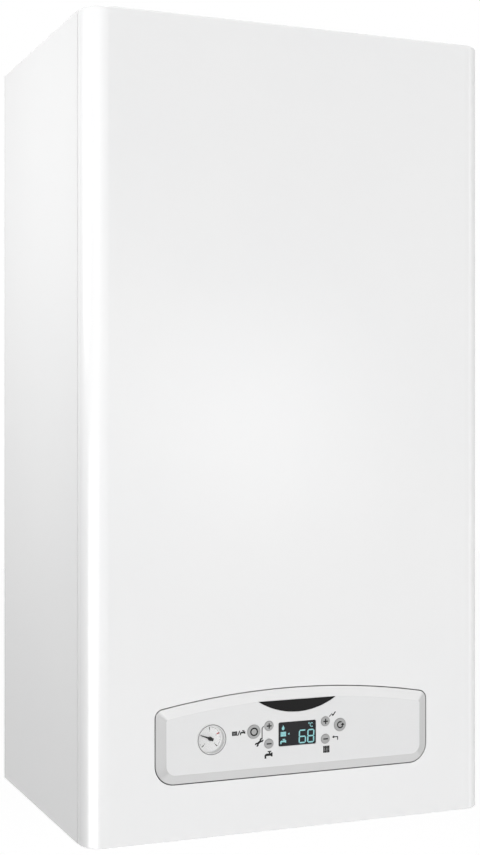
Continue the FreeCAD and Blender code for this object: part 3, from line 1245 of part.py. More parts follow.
def make_pressure_switch():
    """Round switch on the right wall of the chamber, with two nipples."""
    start = (SWITCH_FACE, SWITCH_DEPTH, SWITCH_HEIGHT)
    body = rod(start, RIGHT, SWITCH_RADIUS - SWITCH_RIM, SWITCH_LENGTH)
    rim_start = (SWITCH_FACE + SWITCH_LENGTH / 3, SWITCH_DEPTH, SWITCH_HEIGHT)
    rim = rod(rim_start, RIGHT, SWITCH_RADIUS, SWITCH_LENGTH / 6)
    nipples = [rod((SWITCH_FACE, d, h), LEFT, NIPPLE_RADIUS, NIPPLE_LENGTH) for d, h in nipple_places()]
    return join([body, rim] + nipples)


def make_sensing_hoses():
    """Two soft hoses from the pressure switch to the outlet duct and to the hood."""
    high, low = nipple_places()
    duct_height = (FAN_HEIGHT + DUCT_TOP) / 2 + NIPPLE_OFFSET
    plenum_side = FAN_X + PLENUM_HALF
    plenum_depth = FAN_BACK - PLENUM_LENGTH / 2
    middle = (SWITCH_FACE + DUCT_HALF) / 2
    upper = [
        point(SWITCH_FACE, *high),
        point(middle + HOSE_BEND / 2, *high),
        point(middle - HOSE_BEND / 2, CHAMBER_MIDDLE, duct_height),
        point(DUCT_HALF, CHAMBER_MIDDLE, duct_height),
    ]
    lower = [
        point(SWITCH_FACE, *low),
        point(middle + HOSE_BEND / 2, *low),
        point(middle - HOSE_BEND / 2, plenum_depth, low[1]),
        point(plenum_side, plenum_depth, low[1]),
    ]
    wall = HOSE_RADIUS - NIPPLE_RADIUS - RUNNING_FIT
    return [bent_tube(points, HOSE_BEND, HOSE_RADIUS, wall) for points in (upper, lower)]


# Burner pieces


def make_burner_bars():
    """Row of slotted burner bars, each with a round gas inlet at its front end."""
    back = CHAMBER_MIDDLE - BAR_HALF_LENGTH
    front = CHAMBER_MIDDLE + BAR_HALF_LENGTH
    bar = slab(BAR_WIDTH / 2, (back, front), (BAR_BOTTOM, BAR_TOP))
    top = BAR_TOP - HANG_HEIGHT
    crown = [e for e in bar.Edges if is_along(e, FORWARD) and abs(e.BoundBox.ZMin - top) < 0.01]
    bar = bar.makeFillet(BAR_ROUNDING, crown)
    cuts = []
    for i in range(BAR_SLOT_COUNT):
        middle = CHAMBER_MIDDLE + BAR_SLOT_PITCH * (i - (BAR_SLOT_COUNT - 1) / 2)
        slot_depth = (middle - BAR_SLOT_WIDTH / 2, middle + BAR_SLOT_WIDTH / 2)
        cuts.append(slab(BAR_WIDTH / 2, slot_depth, (BAR_TOP - BAR_SLOT_DEPTH, BAR_TOP)))
    inlet_start = (0, front - BAR_INLET_LENGTH, MANIFOLD_HEIGHT)
    cuts.append(rod(inlet_start, FORWARD, BAR_INLET_RADIUS, BAR_INLET_LENGTH))
    bar = bar.cut(cuts)
    return [bar.translated(RIGHT * x) for x in BARS_X]


def make_burner_tray():
    """Frame on the chamber floor that carries the burner bars on two rails."""
    depth = (CHAMBER_MIDDLE - TRAY_HALF_DEPTH, CHAMBER_MIDDLE + TRAY_HALF_DEPTH)
    height = (CHAMBER_FLOOR, BAR_BOTTOM)
    outer = slab(TRAY_HALF, depth, height)
    inner = slab(TRAY_HALF - TRAY_WALL, (depth[0] + TRAY_WALL, depth[1] - TRAY_WALL), height)
    rail_height = (BAR_BOTTOM - TRAY_WALL, BAR_BOTTOM)
    back_rail = slab(TRAY_HALF, (depth[0], depth[0] + TRAY_RAIL), rail_height)
    front_rail = slab(TRAY_HALF, (depth[1] - TRAY_RAIL, depth[1]), rail_height)
    return join([outer.cut(inner), back_rail, front_rail])


def make_gas_manifold():
    """Tube across the burner with one injector for each bar, held by a strap at each end."""
    tube_start = (-MANIFOLD_HALF, MANIFOLD_DEPTH, MANIFOLD_HEIGHT)
    tube = rod(tube_start, RIGHT, MANIFOLD_RADIUS, 2 * MANIFOLD_HALF)
    strap_half = MANIFOLD_STRAP / 2
    strap_depth = (MANIFOLD_DEPTH - strap_half - MANIFOLD_STRAP, MANIFOLD_DEPTH - strap_half)
    strap_height = (MANIFOLD_HEIGHT - MANIFOLD_STRAP, MANIFOLD_HEIGHT + MANIFOLD_STRAP)
    strap_x = (MANIFOLD_HALF - MANIFOLD_STRAP, FIREBOX_HALF - FIREBOX_SHEET)
    strap = block(strap_x, strap_depth, strap_height)
    bore_half = MANIFOLD_HALF - MANIFOLD_WALL
    bore_start = (-bore_half, MANIFOLD_DEPTH, MANIFOLD_HEIGHT)
    bore = rod(bore_start, RIGHT, MANIFOLD_RADIUS - MANIFOLD_WALL, 2 * bore_half)
    inlet_radius = GAS_RISER_RADIUS - GAS_PIPE_WALL
    inlet = rod((0, MANIFOLD_DEPTH, MANIFOLD_HEIGHT), DOWN, inlet_radius, MANIFOLD_RADIUS)
    seat_radius = GAS_RISER_RADIUS + RUNNING_FIT
    seat = rod((0, MANIFOLD_DEPTH, MANIFOLD_HEIGHT - MANIFOLD_RADIUS), UP, seat_radius, MANIFOLD_WALL)
    start = MANIFOLD_DEPTH - MANIFOLD_RADIUS + INJECTOR_SEAT
    length = start - (CHAMBER_MIDDLE + BAR_HALF_LENGTH) - INJECTOR_GAP
    injectors = [rod((x, start, MANIFOLD_HEIGHT), BACKWARD, INJECTOR_RADIUS, length) for x in BARS_X]
    drill_length = 2 * INJECTOR_SEAT
    drills = [rod((x, start, MANIFOLD_HEIGHT), BACKWARD, INJECTOR_RADIUS, drill_length) for x in BARS_X]
    manifold = join([tube] + both_sides(strap)).cut([bore, inlet, seat] + drills)
    return [manifold] + injectors


def make_electrodes():
    """Ceramic rods with wire tips, each on a small flange on the firebox."""
    front = firebox_depth(0)[1]
    height = electrode_height()
    half = ELECTRODE_FLANGE / 2
    pieces = []
    for x in ELECTRODE_X:
        flange_depth = (front, front + ELECTRODE_FLANGE_THICKNESS)
        flange = block((x - half, x + half), flange_depth, (height - half, height + half))
        length = ELECTRODE_REACH + ELECTRODE_TAIL
        ceramic = rod((x, front - ELECTRODE_REACH, height), FORWARD, ELECTRODE_RADIUS, length)
        tip_end = front - ELECTRODE_REACH - ELECTRODE_TIP
        tip = rod((x, tip_end, height), FORWARD, ELECTRODE_TIP_RADIUS, ELECTRODE_TIP)
        pieces.append(join([flange, ceramic, tip]))
    return pieces


# Gas pieces


def make_gas_valve():
    """Valve body with an inlet port below and an outlet port above."""
    depth = (GAS_VALVE_DEPTH - GAS_VALVE_HALF_DEPTH, GAS_VALVE_DEPTH + GAS_VALVE_HALF_DEPTH)
    body = slab(GAS_VALVE_HALF, depth, (GAS_VALVE_BOTTOM, GAS_VALVE_TOP))
    body = rounded(body, UP, GAS_VALVE_CORNER)
    inlet_start = (0, GAS_VALVE_DEPTH, GAS_VALVE_BOTTOM - GAS_PORT_LENGTH)
    port_span = GAS_VALVE_HEIGHT + 2 * GAS_PORT_LENGTH
    ports = rod(inlet_start, UP, GAS_PORT_RADIUS, port_span)
    bore = rod(inlet_start, UP, GAS_RISER_RADIUS - GAS_PIPE_WALL, port_span)
    return join([body, ports]).cut(bore)


def make_gas_coils():
    """Two coils on the front of the gas valve, each with a cap nut."""
    face = GAS_VALVE_DEPTH + GAS_VALVE_HALF_DEPTH
    height = GAS_VALVE_BOTTOM + COIL_HEIGHT
    coil = rod((COIL_SPACING / 2, face, height), FORWARD, COIL_RADIUS, COIL_LENGTH)
    cap = rod((COIL_SPACING / 2, face + COIL_LENGTH, height), FORWARD, COIL_CAP_RADIUS, COIL_CAP)
    return both_sides(join([coil, cap]))


def make_gas_pipes():
    """Inlet pipe with its threaded stub under the casing, and riser to the manifold."""
    port_bottom = GAS_VALVE_BOTTOM - GAS_PORT_LENGTH
    inlet_points = [
        point(0, CONNECTION_DEPTH, -CONNECTION_DROP),
        point(0, CONNECTION_DEPTH, GAS_INLET_TURN),
        point(0, GAS_VALVE_DEPTH, GAS_INLET_RISE),
        point(0, GAS_VALVE_DEPTH, port_bottom),
    ]
    stub_top = CASE_SHEET + STUB_COLLAR_HEIGHT
    stub_start = (0, CONNECTION_DEPTH, -CONNECTION_DROP)
    stub = rod(stub_start, UP, LARGE_STUB_RADIUS, CONNECTION_DROP + stub_top)
    collar_radius = LARGE_STUB_RADIUS + STUB_COLLAR
    collar = rod((0, CONNECTION_DEPTH, CASE_SHEET), UP, collar_radius, STUB_COLLAR_HEIGHT)
    outside = join([bent_rod(inlet_points, GAS_INLET_BEND, GAS_PIPE_RADIUS), stub, collar])
    inlet = outside.cut(bent_rod(inlet_points, GAS_INLET_BEND, GAS_PIPE_RADIUS - GAS_PIPE_WALL))
    port_top = GAS_VALVE_TOP + GAS_PORT_LENGTH
    riser_points = [
        point(0, GAS_VALVE_DEPTH, port_top),
        point(0, GAS_VALVE_DEPTH, port_top + GAS_RISER_TURN),
        point(0, MANIFOLD_DEPTH, port_top + GAS_RISER_TURN),
        point(0, MANIFOLD_DEPTH, MANIFOLD_HEIGHT - MANIFOLD_RADIUS + MANIFOLD_WALL),
    ]
    return [inlet, bent_tube(riser_points, GAS_RISER_BEND, GAS_RISER_RADIUS, GAS_PIPE_WALL)]


# Water pieces


def connection_stub(step, radius, bore_radius):
    """Threaded stub under the casing with a collar on the bottom plate, and its bore."""
    x = step * CONNECTION_PITCH
    start = (x, CONNECTION_DEPTH, -CONNECTION_DROP)
    length = CONNECTION_DROP + BLOCK_HEIGHT
    stub = rod(start, UP, radius, length)
    collar = rod((x, CONNECTION_DEPTH, CASE_SHEET), UP, radius + STUB_COLLAR, STUB_COLLAR_HEIGHT)
    return [stub, collar], rod(start, UP, bore_radius, length)


def block_body(side):
    """Gallery across the casing with the saddle of the plate exchanger, and its bore."""
    axis = RIGHT * side
    gallery = rod((side * BLOCK_START, CONNECTION_DEPTH, BLOCK_HEIGHT), axis, BLOCK_RADIUS, BLOCK_LENGTH)
    x = sorted((side * BLOCK_START, side * SADDLE_END))
    depth = (CONNECTION_DEPTH - SADDLE_HALF, CONNECTION_DEPTH + SADDLE_HALF)
    saddle = block(x, depth, (BLOCK_HEIGHT, SADDLE_TOP))
    bore_start = (side * (BLOCK_START + BLOCK_WALL), CONNECTION_DEPTH, BLOCK_HEIGHT)
    bore = rod(bore_start, axis, BLOCK_BORE_RADIUS, BLOCK_LENGTH - 2 * BLOCK_WALL)
    return [gallery, saddle], bore


def block_port(x):
    """Upright port on a water block and its bore."""
    start = (x, CONNECTION_DEPTH, BLOCK_HEIGHT)
    port = rod(start, UP, PORT_RADIUS, PORT_TOP - BLOCK_HEIGHT)
    return port, rod(start, UP, PIPE_RADIUS - PIPE_WALL, PORT_TOP - BLOCK_HEIGHT)


def make_flow_block():
    """Left block: heating flow and hot water stubs, diverter bonnet and relief branch."""
    solids, gallery_bore = block_body(-1)
    large, large_bore = connection_stub(-2, LARGE_STUB_RADIUS, LARGE_BORE_RADIUS)
    small, small_bore = connection_stub(-1, SMALL_STUB_RADIUS, SMALL_BORE_RADIUS)
    port, port_bore = block_port(-2 * CONNECTION_PITCH)
    bonnet_start = (DIVERTER_X, CONNECTION_DEPTH, BLOCK_HEIGHT)
    bonnet = rod(bonnet_start, FORWARD, DIVERTER_BONNET_RADIUS, DIVERTER_BONNET_REACH)
    branch_start = (RELIEF_X, CONNECTION_DEPTH, BLOCK_HEIGHT)
    branch = rod(branch_start, FORWARD, RELIEF_BRANCH_RADIUS, RELIEF_BRANCH_REACH)
    solids += large + small + [port, bonnet, branch]
    return join(solids).cut([gallery_bore, large_bore, small_bore, port_bore])


def make_return_block():
    """Right block: cold water and heating return stubs, pump port and filling valve boss."""
    solids, gallery_bore = block_body(1)
    large, large_bore = connection_stub(2, LARGE_STUB_RADIUS, LARGE_BORE_RADIUS)
    small, small_bore = connection_stub(1, SMALL_STUB_RADIUS, SMALL_BORE_RADIUS)
    port, port_bore = block_port(PUMP_X)
    boss_start = (FILL_X, CONNECTION_DEPTH, BLOCK_HEIGHT)
    boss = rod(boss_start, DOWN, FILL_BOSS_RADIUS, FILL_BOSS_DROP)
    stem_bore_start = (FILL_X, CONNECTION_DEPTH, BLOCK_HEIGHT - FILL_BOSS_DROP)
    stem_bore = rod(stem_bore_start, UP, FILL_STEM_RADIUS + RUNNING_FIT, FILL_BOSS_DROP)
    boss_x = (VESSEL_PORT_X - VESSEL_BOSS_HALF, VESSEL_PORT_X + VESSEL_BOSS_HALF)
    boss_height = (BLOCK_HEIGHT - VESSEL_BOSS_HALF, BLOCK_HEIGHT + VESSEL_BOSS_HALF)
    vessel_boss = block(boss_x, (CONNECTION_DEPTH - VESSEL_BOSS_LENGTH, CONNECTION_DEPTH), boss_height)
    solids += large + small + [port, boss, vessel_boss]
    return join(solids).cut([gallery_bore, large_bore, small_bore, port_bore, stem_bore])


def make_plate_exchanger():
    """Brazed stack of plates on the saddles of the two water blocks."""
    depth = (CONNECTION_DEPTH - PLATE_HALF_DEPTH, CONNECTION_DEPTH + PLATE_HALF_DEPTH)
    core_depth = (depth[0] + PLATE_INSET, depth[1] - PLATE_INSET)
    height = PLATE_PITCH * (PLATE_COUNT - 1) + PLATE_THICKNESS
    core = slab(SADDLE_END - PLATE_INSET, core_depth, (SADDLE_TOP, SADDLE_TOP + height))
    stack = [rounded(core, UP, PLATE_CORNER - PLATE_INSET)]
    for i in range(PLATE_COUNT):
        bottom = SADDLE_TOP + PLATE_PITCH * i
        plate = slab(SADDLE_END, depth, (bottom, bottom + PLATE_THICKNESS))
        stack.append(rounded(plate, UP, PLATE_CORNER))
    return join(stack)


def make_pump_volute():
    """Pump housing on the return block, with an outlet and the boss of the air vent above."""
    drum = rod((PUMP_X, PUMP_BACK, PUMP_HEIGHT), FORWARD, PUMP_RADIUS, PUMP_LENGTH)
    neck = rod((PUMP_X, CONNECTION_DEPTH, PORT_TOP), UP, PORT_RADIUS, PUMP_TOP - PORT_TOP)
    vent_start = (PUMP_X + VENT_OFFSET, CONNECTION_DEPTH, PUMP_HEIGHT)
    vent_boss = rod(vent_start, UP, VENT_BOSS_RADIUS, VENT_SEAT - PUMP_HEIGHT)
    hollow_start = (PUMP_X, PUMP_BACK + PUMP_FLOOR, PUMP_HEIGHT)
    hollow = rod(hollow_start, FORWARD, PUMP_RADIUS - PUMP_WALL, PUMP_LENGTH - PUMP_FLOOR)
    bore_start = (PUMP_X, CONNECTION_DEPTH, PORT_TOP)
    bore = rod(bore_start, UP, PIPE_RADIUS - PIPE_WALL, PUMP_TOP - PORT_TOP)
    return join([drum, neck, vent_boss]).cut([hollow, bore])


def make_pump_motor():
    """Wet-rotor motor flanged to the pump housing, with its terminal box on top."""
    flange = rod((PUMP_X, PUMP_FRONT, PUMP_HEIGHT), FORWARD, PUMP_RADIUS, PUMP_FLANGE)
    body_start = (PUMP_X, PUMP_FRONT, PUMP_HEIGHT)
    body = rod(body_start, FORWARD, PUMP_MOTOR_RADIUS, PUMP_FLANGE + PUMP_MOTOR_LENGTH)
    across, along, tall = PUMP_TERMINAL
    middle = PUMP_FRONT + PUMP_FLANGE + PUMP_MOTOR_LENGTH / 2
    top = PUMP_HEIGHT + PUMP_MOTOR_RADIUS + tall / 2
    box_x = (PUMP_X - across / 2, PUMP_X + across / 2)
    terminal = block(box_x, (middle - along / 2, middle + along / 2), (PUMP_HEIGHT, top))
    bore_radius = PUMP_SHAFT_RADIUS + RUNNING_FIT
    bore = rod(body_start, FORWARD, bore_radius, PUMP_SHAFT_REACH + HOLE_CLEARANCE)
    return join([flange, body, terminal]).cut(bore)


def make_pump_wheel():
    """Vaned wheel inside the pump housing, on its shaft."""
    back = PUMP_BACK + PUMP_FLOOR + PUMP_WHEEL_GAP
    front = back + PUMP_WHEEL_LENGTH
    plate_start = (PUMP_X, front - PUMP_WHEEL_PLATE, PUMP_HEIGHT)
    plate = rod(plate_start, FORWARD, PUMP_WHEEL_RADIUS, PUMP_WHEEL_PLATE)
    shaft_length = PUMP_FRONT + PUMP_SHAFT_REACH - back
    shaft = rod((PUMP_X, back, PUMP_HEIGHT), FORWARD, PUMP_SHAFT_RADIUS, shaft_length)
    vane_x = (PUMP_X - PUMP_VANE_THICKNESS / 2, PUMP_X + PUMP_VANE_THICKNESS / 2)
    vane_height = (PUMP_HEIGHT, PUMP_HEIGHT + PUMP_WHEEL_RADIUS - PUMP_VANE_THICKNESS)
    vanes = []
    for i in range(PUMP_VANE_COUNT):
        vane = block(vane_x, (back, front), vane_height)
        vane.rotate(point(PUMP_X, back, PUMP_HEIGHT), FORWARD, 360 * i / PUMP_VANE_COUNT)
        vanes.append(vane)
    return join([plate, shaft] + vanes)


def make_air_vent():
    """Float vent with a small cap, on the boss of the pump housing."""
    x = PUMP_X + VENT_OFFSET
    body = rod((x, CONNECTION_DEPTH, VENT_SEAT), UP, VENT_RADIUS, VENT_BODY)
    cap = rod((x, CONNECTION_DEPTH, VENT_SEAT + VENT_BODY), UP, VENT_CAP_RADIUS, VENT_CAP)
    return join([body, cap])


def make_diverter_motor():
    """Actuator of the diverter valve, on its bonnet."""
    back = CONNECTION_DEPTH + DIVERTER_BONNET_REACH
    x = (DIVERTER_X - DIVERTER_HALF, DIVERTER_X + DIVERTER_HALF)
    height = (BLOCK_HEIGHT - DIVERTER_HALF, BLOCK_HEIGHT + DIVERTER_HALF)
    return rounded(block(x, (back, back + DIVERTER_LENGTH), height), FORWARD, DIVERTER_CORNER)


def relief_back():
    """Depth at which the relief valve meets its branch."""
    return CONNECTION_DEPTH + RELIEF_BRANCH_REACH


def relief_outlet_depth():
    """Depth of the outlet of the relief valve."""
    return relief_back() + RELIEF_LENGTH / 2


def ribbed_knob(start, axis, radius, length):
    """Knob with rounded ribs round its rim."""
    core = rod(start, axis, radius - KNOB_RIB_RADIUS, length)
    centre = point(*start)
    arm = axis.cross(RIGHT)
    if arm.Length < 0.5:
        arm = axis.cross(UP)
    ribs = []
    for i in range(KNOB_RIB_COUNT):
        rib = Part.makeCylinder(KNOB_RIB_RADIUS, length, centre + arm * (radius - KNOB_RIB_RADIUS), axis)
        rib.rotate(centre, axis, 360 * i / KNOB_RIB_COUNT)
        ribs.append(rib)
    return join([core] + ribs)


def make_relief_valve():
    """Safety valve on its branch, with an outlet that passes through the bottom plate."""
    start = (RELIEF_X, relief_back(), BLOCK_HEIGHT)
    body = rod(start, FORWARD, RELIEF_RADIUS, RELIEF_LENGTH)
    outlet_start = (RELIEF_X, relief_outlet_depth(), BLOCK_HEIGHT)
    outlet = rod(outlet_start, DOWN, RELIEF_OUTLET_RADIUS, BLOCK_HEIGHT + RELIEF_OUTLET_DROP)
    stem_start = (RELIEF_X, relief_back() + RELIEF_LENGTH, BLOCK_HEIGHT)
    stem = rod(stem_start, FORWARD, RELIEF_STEM_RADIUS, RELIEF_STEM)
    bore_start = (RELIEF_X, relief_outlet_depth(), -RELIEF_OUTLET_DROP)
    bore = rod(bore_start, UP, RELIEF_OUTLET_RADIUS / 2, BLOCK_HEIGHT)
    return join([body, outlet, stem]).cut(bore)


def make_relief_knob():
    """Test knob on the stem of the relief valve."""
    face = relief_back() + RELIEF_LENGTH
    start = (RELIEF_X, face + RELIEF_KNOB_GAP, BLOCK_HEIGHT)
    knob = ribbed_knob(start, FORWARD, RELIEF_KNOB_RADIUS, RELIEF_KNOB_LENGTH)
    bore = rod(start, FORWARD, RELIEF_STEM_RADIUS + RUNNING_FIT, RELIEF_STEM)
    return knob.cut(bore)


def make_fill_knob():
    """Filling knob under the casing, on its stem in the return block."""
    knob_start = (FILL_X, CONNECTION_DEPTH, FILL_KNOB_TOP)
    knob = ribbed_knob(knob_start, DOWN, FILL_KNOB_RADIUS, FILL_KNOB_LENGTH)
    stem_top = BLOCK_HEIGHT - FILL_BOSS_DROP + FILL_STEM_SEAT - RELIEF_KNOB_GAP
    stem_start = (FILL_X, CONNECTION_DEPTH, FILL_KNOB_TOP)
    stem = rod(stem_start, UP, FILL_STEM_RADIUS, stem_top - FILL_KNOB_TOP)
    return join([knob, stem])


def make_heating_pipes():
    """Flow, return and vessel pipes, with a soldered sleeve where a pipe meets the exchanger."""
    flow_x = -2 * CONNECTION_PITCH
    flow_points = [
        point(-TUBE_TAIL, TUBE_DEPTHS[-1], TUBE_HEIGHT),
        point(-RISER_X, TUBE_DEPTHS[-1], TUBE_HEIGHT),
        point(-RISER_X, TUBE_DEPTHS[-1], FLOW_TURN_HEIGHT),
        point(flow_x, CONNECTION_DEPTH, FLOW_TURN_HEIGHT),
        point(flow_x, CONNECTION_DEPTH, PORT_TOP),
    ]
    return_points = [
        point(TUBE_TAIL, TUBE_DEPTHS[0], TUBE_HEIGHT),
        point(RISER_X, TUBE_DEPTHS[0], TUBE_HEIGHT),
        point(RISER_X, TUBE_DEPTHS[0], RETURN_JOG_HEIGHT),
        point(PUMP_X, CONNECTION_DEPTH, PUMP_TOP + RETURN_TURN_RISE),
        point(PUMP_X, CONNECTION_DEPTH, PUMP_TOP),
    ]
    vessel_points = [
        point(VESSEL_PORT_X, VESSEL_MIDDLE, VESSEL_BOTTOM - VESSEL_PORT_LENGTH),
        point(VESSEL_PORT_X, VESSEL_MIDDLE, BLOCK_HEIGHT),
        point(VESSEL_PORT_X, CONNECTION_DEPTH - VESSEL_BOSS_LENGTH, BLOCK_HEIGHT),
    ]
    top_bend = RISER_X - TUBE_TAIL - RUNNING_FIT
    flow = bent_tube(flow_points, min(PIPE_BEND, top_bend), PIPE_RADIUS, PIPE_WALL)
    back = bent_tube(return_points, min(PIPE_BEND, top_bend), PIPE_RADIUS, PIPE_WALL)
    vessel = bent_tube(vessel_points, VESSEL_PIPE_BEND, VESSEL_PIPE_RADIUS, PIPE_WALL)
    sleeve_start = (TUBE_TAIL - SLEEVE_LENGTH, TUBE_DEPTHS[0], TUBE_HEIGHT)
    sleeve = rod(sleeve_start, RIGHT, TUBE_RADIUS + SLEEVE_WALL, SLEEVE_LENGTH)
    sleeve = sleeve.cut(rod(sleeve_start, RIGHT, TUBE_RADIUS + RUNNING_FIT, SLEEVE_LENGTH))
    flow_shift = BACKWARD * (TUBE_DEPTHS[0] - TUBE_DEPTHS[-1])
    return [flow, back, vessel, sleeve, mirrored(sleeve).translated(flow_shift)]


def vessel_body(inset):
    """Flat vessel with rounded corners and rims, moved inwards by an inset."""
    height = (VESSEL_BOTTOM + inset, VESSEL_BOTTOM + VESSEL_HEIGHT - inset)
    body = slab(VESSEL_WIDTH / 2 - inset, (FRAME_SHEET + inset, VESSEL_FRONT - inset), height)
    body = rounded(body, FORWARD, VESSEL_CORNER - inset)
    rims = []
    for depth in (FRAME_SHEET + inset, VESSEL_FRONT - inset):
        rims += [e for e in body.Edges if lies_at(e.BoundBox.YMin, e.BoundBox.YMax, -depth)]
    return body.makeFillet(VESSEL_ROUNDING - inset, rims)


def make_expansion_vessel():
    """Hollow vessel against the back of the frame, with a port below."""
    port_start = (VESSEL_PORT_X, VESSEL_MIDDLE, VESSEL_BOTTOM - VESSEL_PORT_LENGTH)
    port = rod(port_start, UP, VESSEL_PORT_RADIUS, VESSEL_PORT_LENGTH + 2 * VESSEL_WALL)
    bore_length = VESSEL_PORT_LENGTH + 4 * VESSEL_WALL
    bore = rod(port_start, UP, VESSEL_PIPE_RADIUS - PIPE_WALL, bore_length)
    shell = join([vessel_body(0), port]).cut(vessel_body(VESSEL_WALL))
    return shell.cut(bore)


def save(name, shapes):
    """Write one piece, or a group of like pieces, under its name."""
    group = shapes if isinstance(shapes, list) else [shapes]
    solids = [solid for shape in group for solid in shape.Solids]
    if not all(solid.isValid() for solid in solids):
        print("not valid:", name)
    whole = solids[0] if len(solids) == 1 else Part.makeCompound(solids)
    whole.exportStep("parts/" + name + ".step")


def main():
    """Build and write every piece."""
    os.makedirs("parts", exist_ok=True)
    right_panel = make_right_side_panel()
    pieces = {
        "back_frame": make_back_frame(),
        "right_side_panel": right_panel,
        "left_side_panel": mirrored(right_panel),
        "top_panel": make_top_panel(),
        "bottom_plate": make_bottom_plate(),
        "front_cover": make_front_cover(),
        "cover_seal": make_cover_seal(),
        "cover_screws": make_cover_screws(),
        "control_fascia": make_control_fascia(),
        "control_box": make_control_box(),
        "control_box_cover": make_control_box_cover(),
        "circuit_boards": make_circuit_boards(),
        "display_window": make_display_window(),
        "badge_plate": make_badge_plate(),
        "gauge_case": make_gauge_case(),
        "gauge_needle": make_gauge_needle(),
        "gauge_glass": make_gauge_glass(),
        "hinge_brackets": make_hinge_brackets(),
        "chamber_box": make_chamber_box(),
        "chamber_lid": make_chamber_lid(),
        "lid_gasket": make_lid_gasket(),
        "sight_glass": make_sight_glass(),
        "firebox": make_firebox(),
        "insulation_boards": make_insulation_boards(),
        "exchanger_core": make_exchanger_core(),
        "exchanger_tubes": make_exchanger_tubes(),
        "flue_hood": make_flue_hood(),
        "fan_housing": make_fan_housing(),
        "fan_wheel": make_fan_wheel(),
        "fan_motor": make_fan_motor(),
        "flue_socket": make_flue_socket(),
        "flue_collar": make_flue_collar(),
        "pressure_switch": make_pressure_switch(),
        "sensing_hoses": make_sensing_hoses(),
        "burner_bars": make_burner_bars(),
        "burner_tray": make_burner_tray(),
        "gas_manifold": make_gas_manifold(),
        "electrodes": make_electrodes(),
        "gas_valve": make_gas_valve(),
        "gas_coils": make_gas_coils(),
        "gas_pipes": make_gas_pipes(),
        "flow_block": make_flow_block(),
        "return_block": make_return_block(),
        "plate_exchanger": make_plate_exchanger(),
        "pump_volute": make_pump_volute(),
        "pump_motor": make_pump_motor(),
        "pump_wheel": make_pump_wheel(),
        "air_vent": make_air_vent(),
        "diverter_motor": make_diverter_motor(),
        "relief_valve": make_relief_valve(),
        "relief_knob": make_relief_knob(),
        "fill_knob": make_fill_knob(),
        "heating_pipes": make_heating_pipes(),
        "expansion_vessel": make_expansion_vessel(),
    }
    for name, place in BUTTONS.items():
        pieces[name] = make_button(*place)
    for name, shapes in pieces.items():
        save(name, shapes)


main()
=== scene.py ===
"""Looks of a wall-hung gas boiler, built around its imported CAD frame."""

import logging
import math
from dataclasses import dataclass
from enum import Enum, IntEnum
from functools import lru_cache
from itertools import product
from typing import Iterable, Sequence

import bmesh
import bpy
from mathutils import Matrix, Vector


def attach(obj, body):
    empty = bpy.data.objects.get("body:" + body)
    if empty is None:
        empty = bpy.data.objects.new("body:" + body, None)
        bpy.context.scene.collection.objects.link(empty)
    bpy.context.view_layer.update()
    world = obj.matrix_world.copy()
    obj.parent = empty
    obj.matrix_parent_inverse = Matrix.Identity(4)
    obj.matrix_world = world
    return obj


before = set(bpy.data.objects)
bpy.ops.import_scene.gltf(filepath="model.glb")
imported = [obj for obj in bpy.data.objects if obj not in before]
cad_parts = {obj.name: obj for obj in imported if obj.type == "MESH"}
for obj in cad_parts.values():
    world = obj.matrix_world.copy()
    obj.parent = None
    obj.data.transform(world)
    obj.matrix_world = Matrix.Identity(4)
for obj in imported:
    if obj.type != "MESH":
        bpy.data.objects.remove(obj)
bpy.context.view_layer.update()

LOG = logging.getLogger("boiler")
MM = 0.001
HANG_HEIGHT = 690.0
FASCIA_FRONT = 305.0
SHARP_ANGLE = math.radians(32.0)
FULL_TURN = 360.0
THIRDS = (90.0, 210.0, 330.0)
CORNERS = (45.0, 135.0, 225.0, 315.0)
THIN_PRINT = 0.04
THICK_PRINT = 0.05

Colour = tuple[float, float, float]
Point = tuple[float, float, float]
Spot = tuple[float, float]
Profile = tuple[Spot, ...]
Row = tuple[float, ...]
Grid = tuple[Row, Row]
Block = tuple[Point, Point, float]
Node = bpy.types.ShaderNode


def place(across: float, depth: float, height: float) -> Vector:
    """Point in metres from millimetres right of the middle, out from the wall and above the casing foot."""
    return Vector((across * MM, -depth * MM, (height - HANG_HEIGHT) * MM))


def circle(centre: Spot, radius: float, turns: Iterable[float]) -> list[Spot]:
    """Spots on a circle at angles in degrees, anticlockwise from the right."""
    angles = [math.radians(turn) for turn in turns]
    return [(centre[0] + radius * math.cos(a), centre[1] + radius * math.sin(a)) for a in angles]


# Finishes


class Grain(Enum):
    """How a surface is broken up at close range."""

    PEEL = "sprayed enamel"
    MOULDED = "spark-eroded mould"
    SPANGLE = "zinc crystals"
    ROLLED = "rolled sheet"
    CAST = "sand casting"
    DRAWN = "drawn tube"
    FIBRE = "pressed fibre"


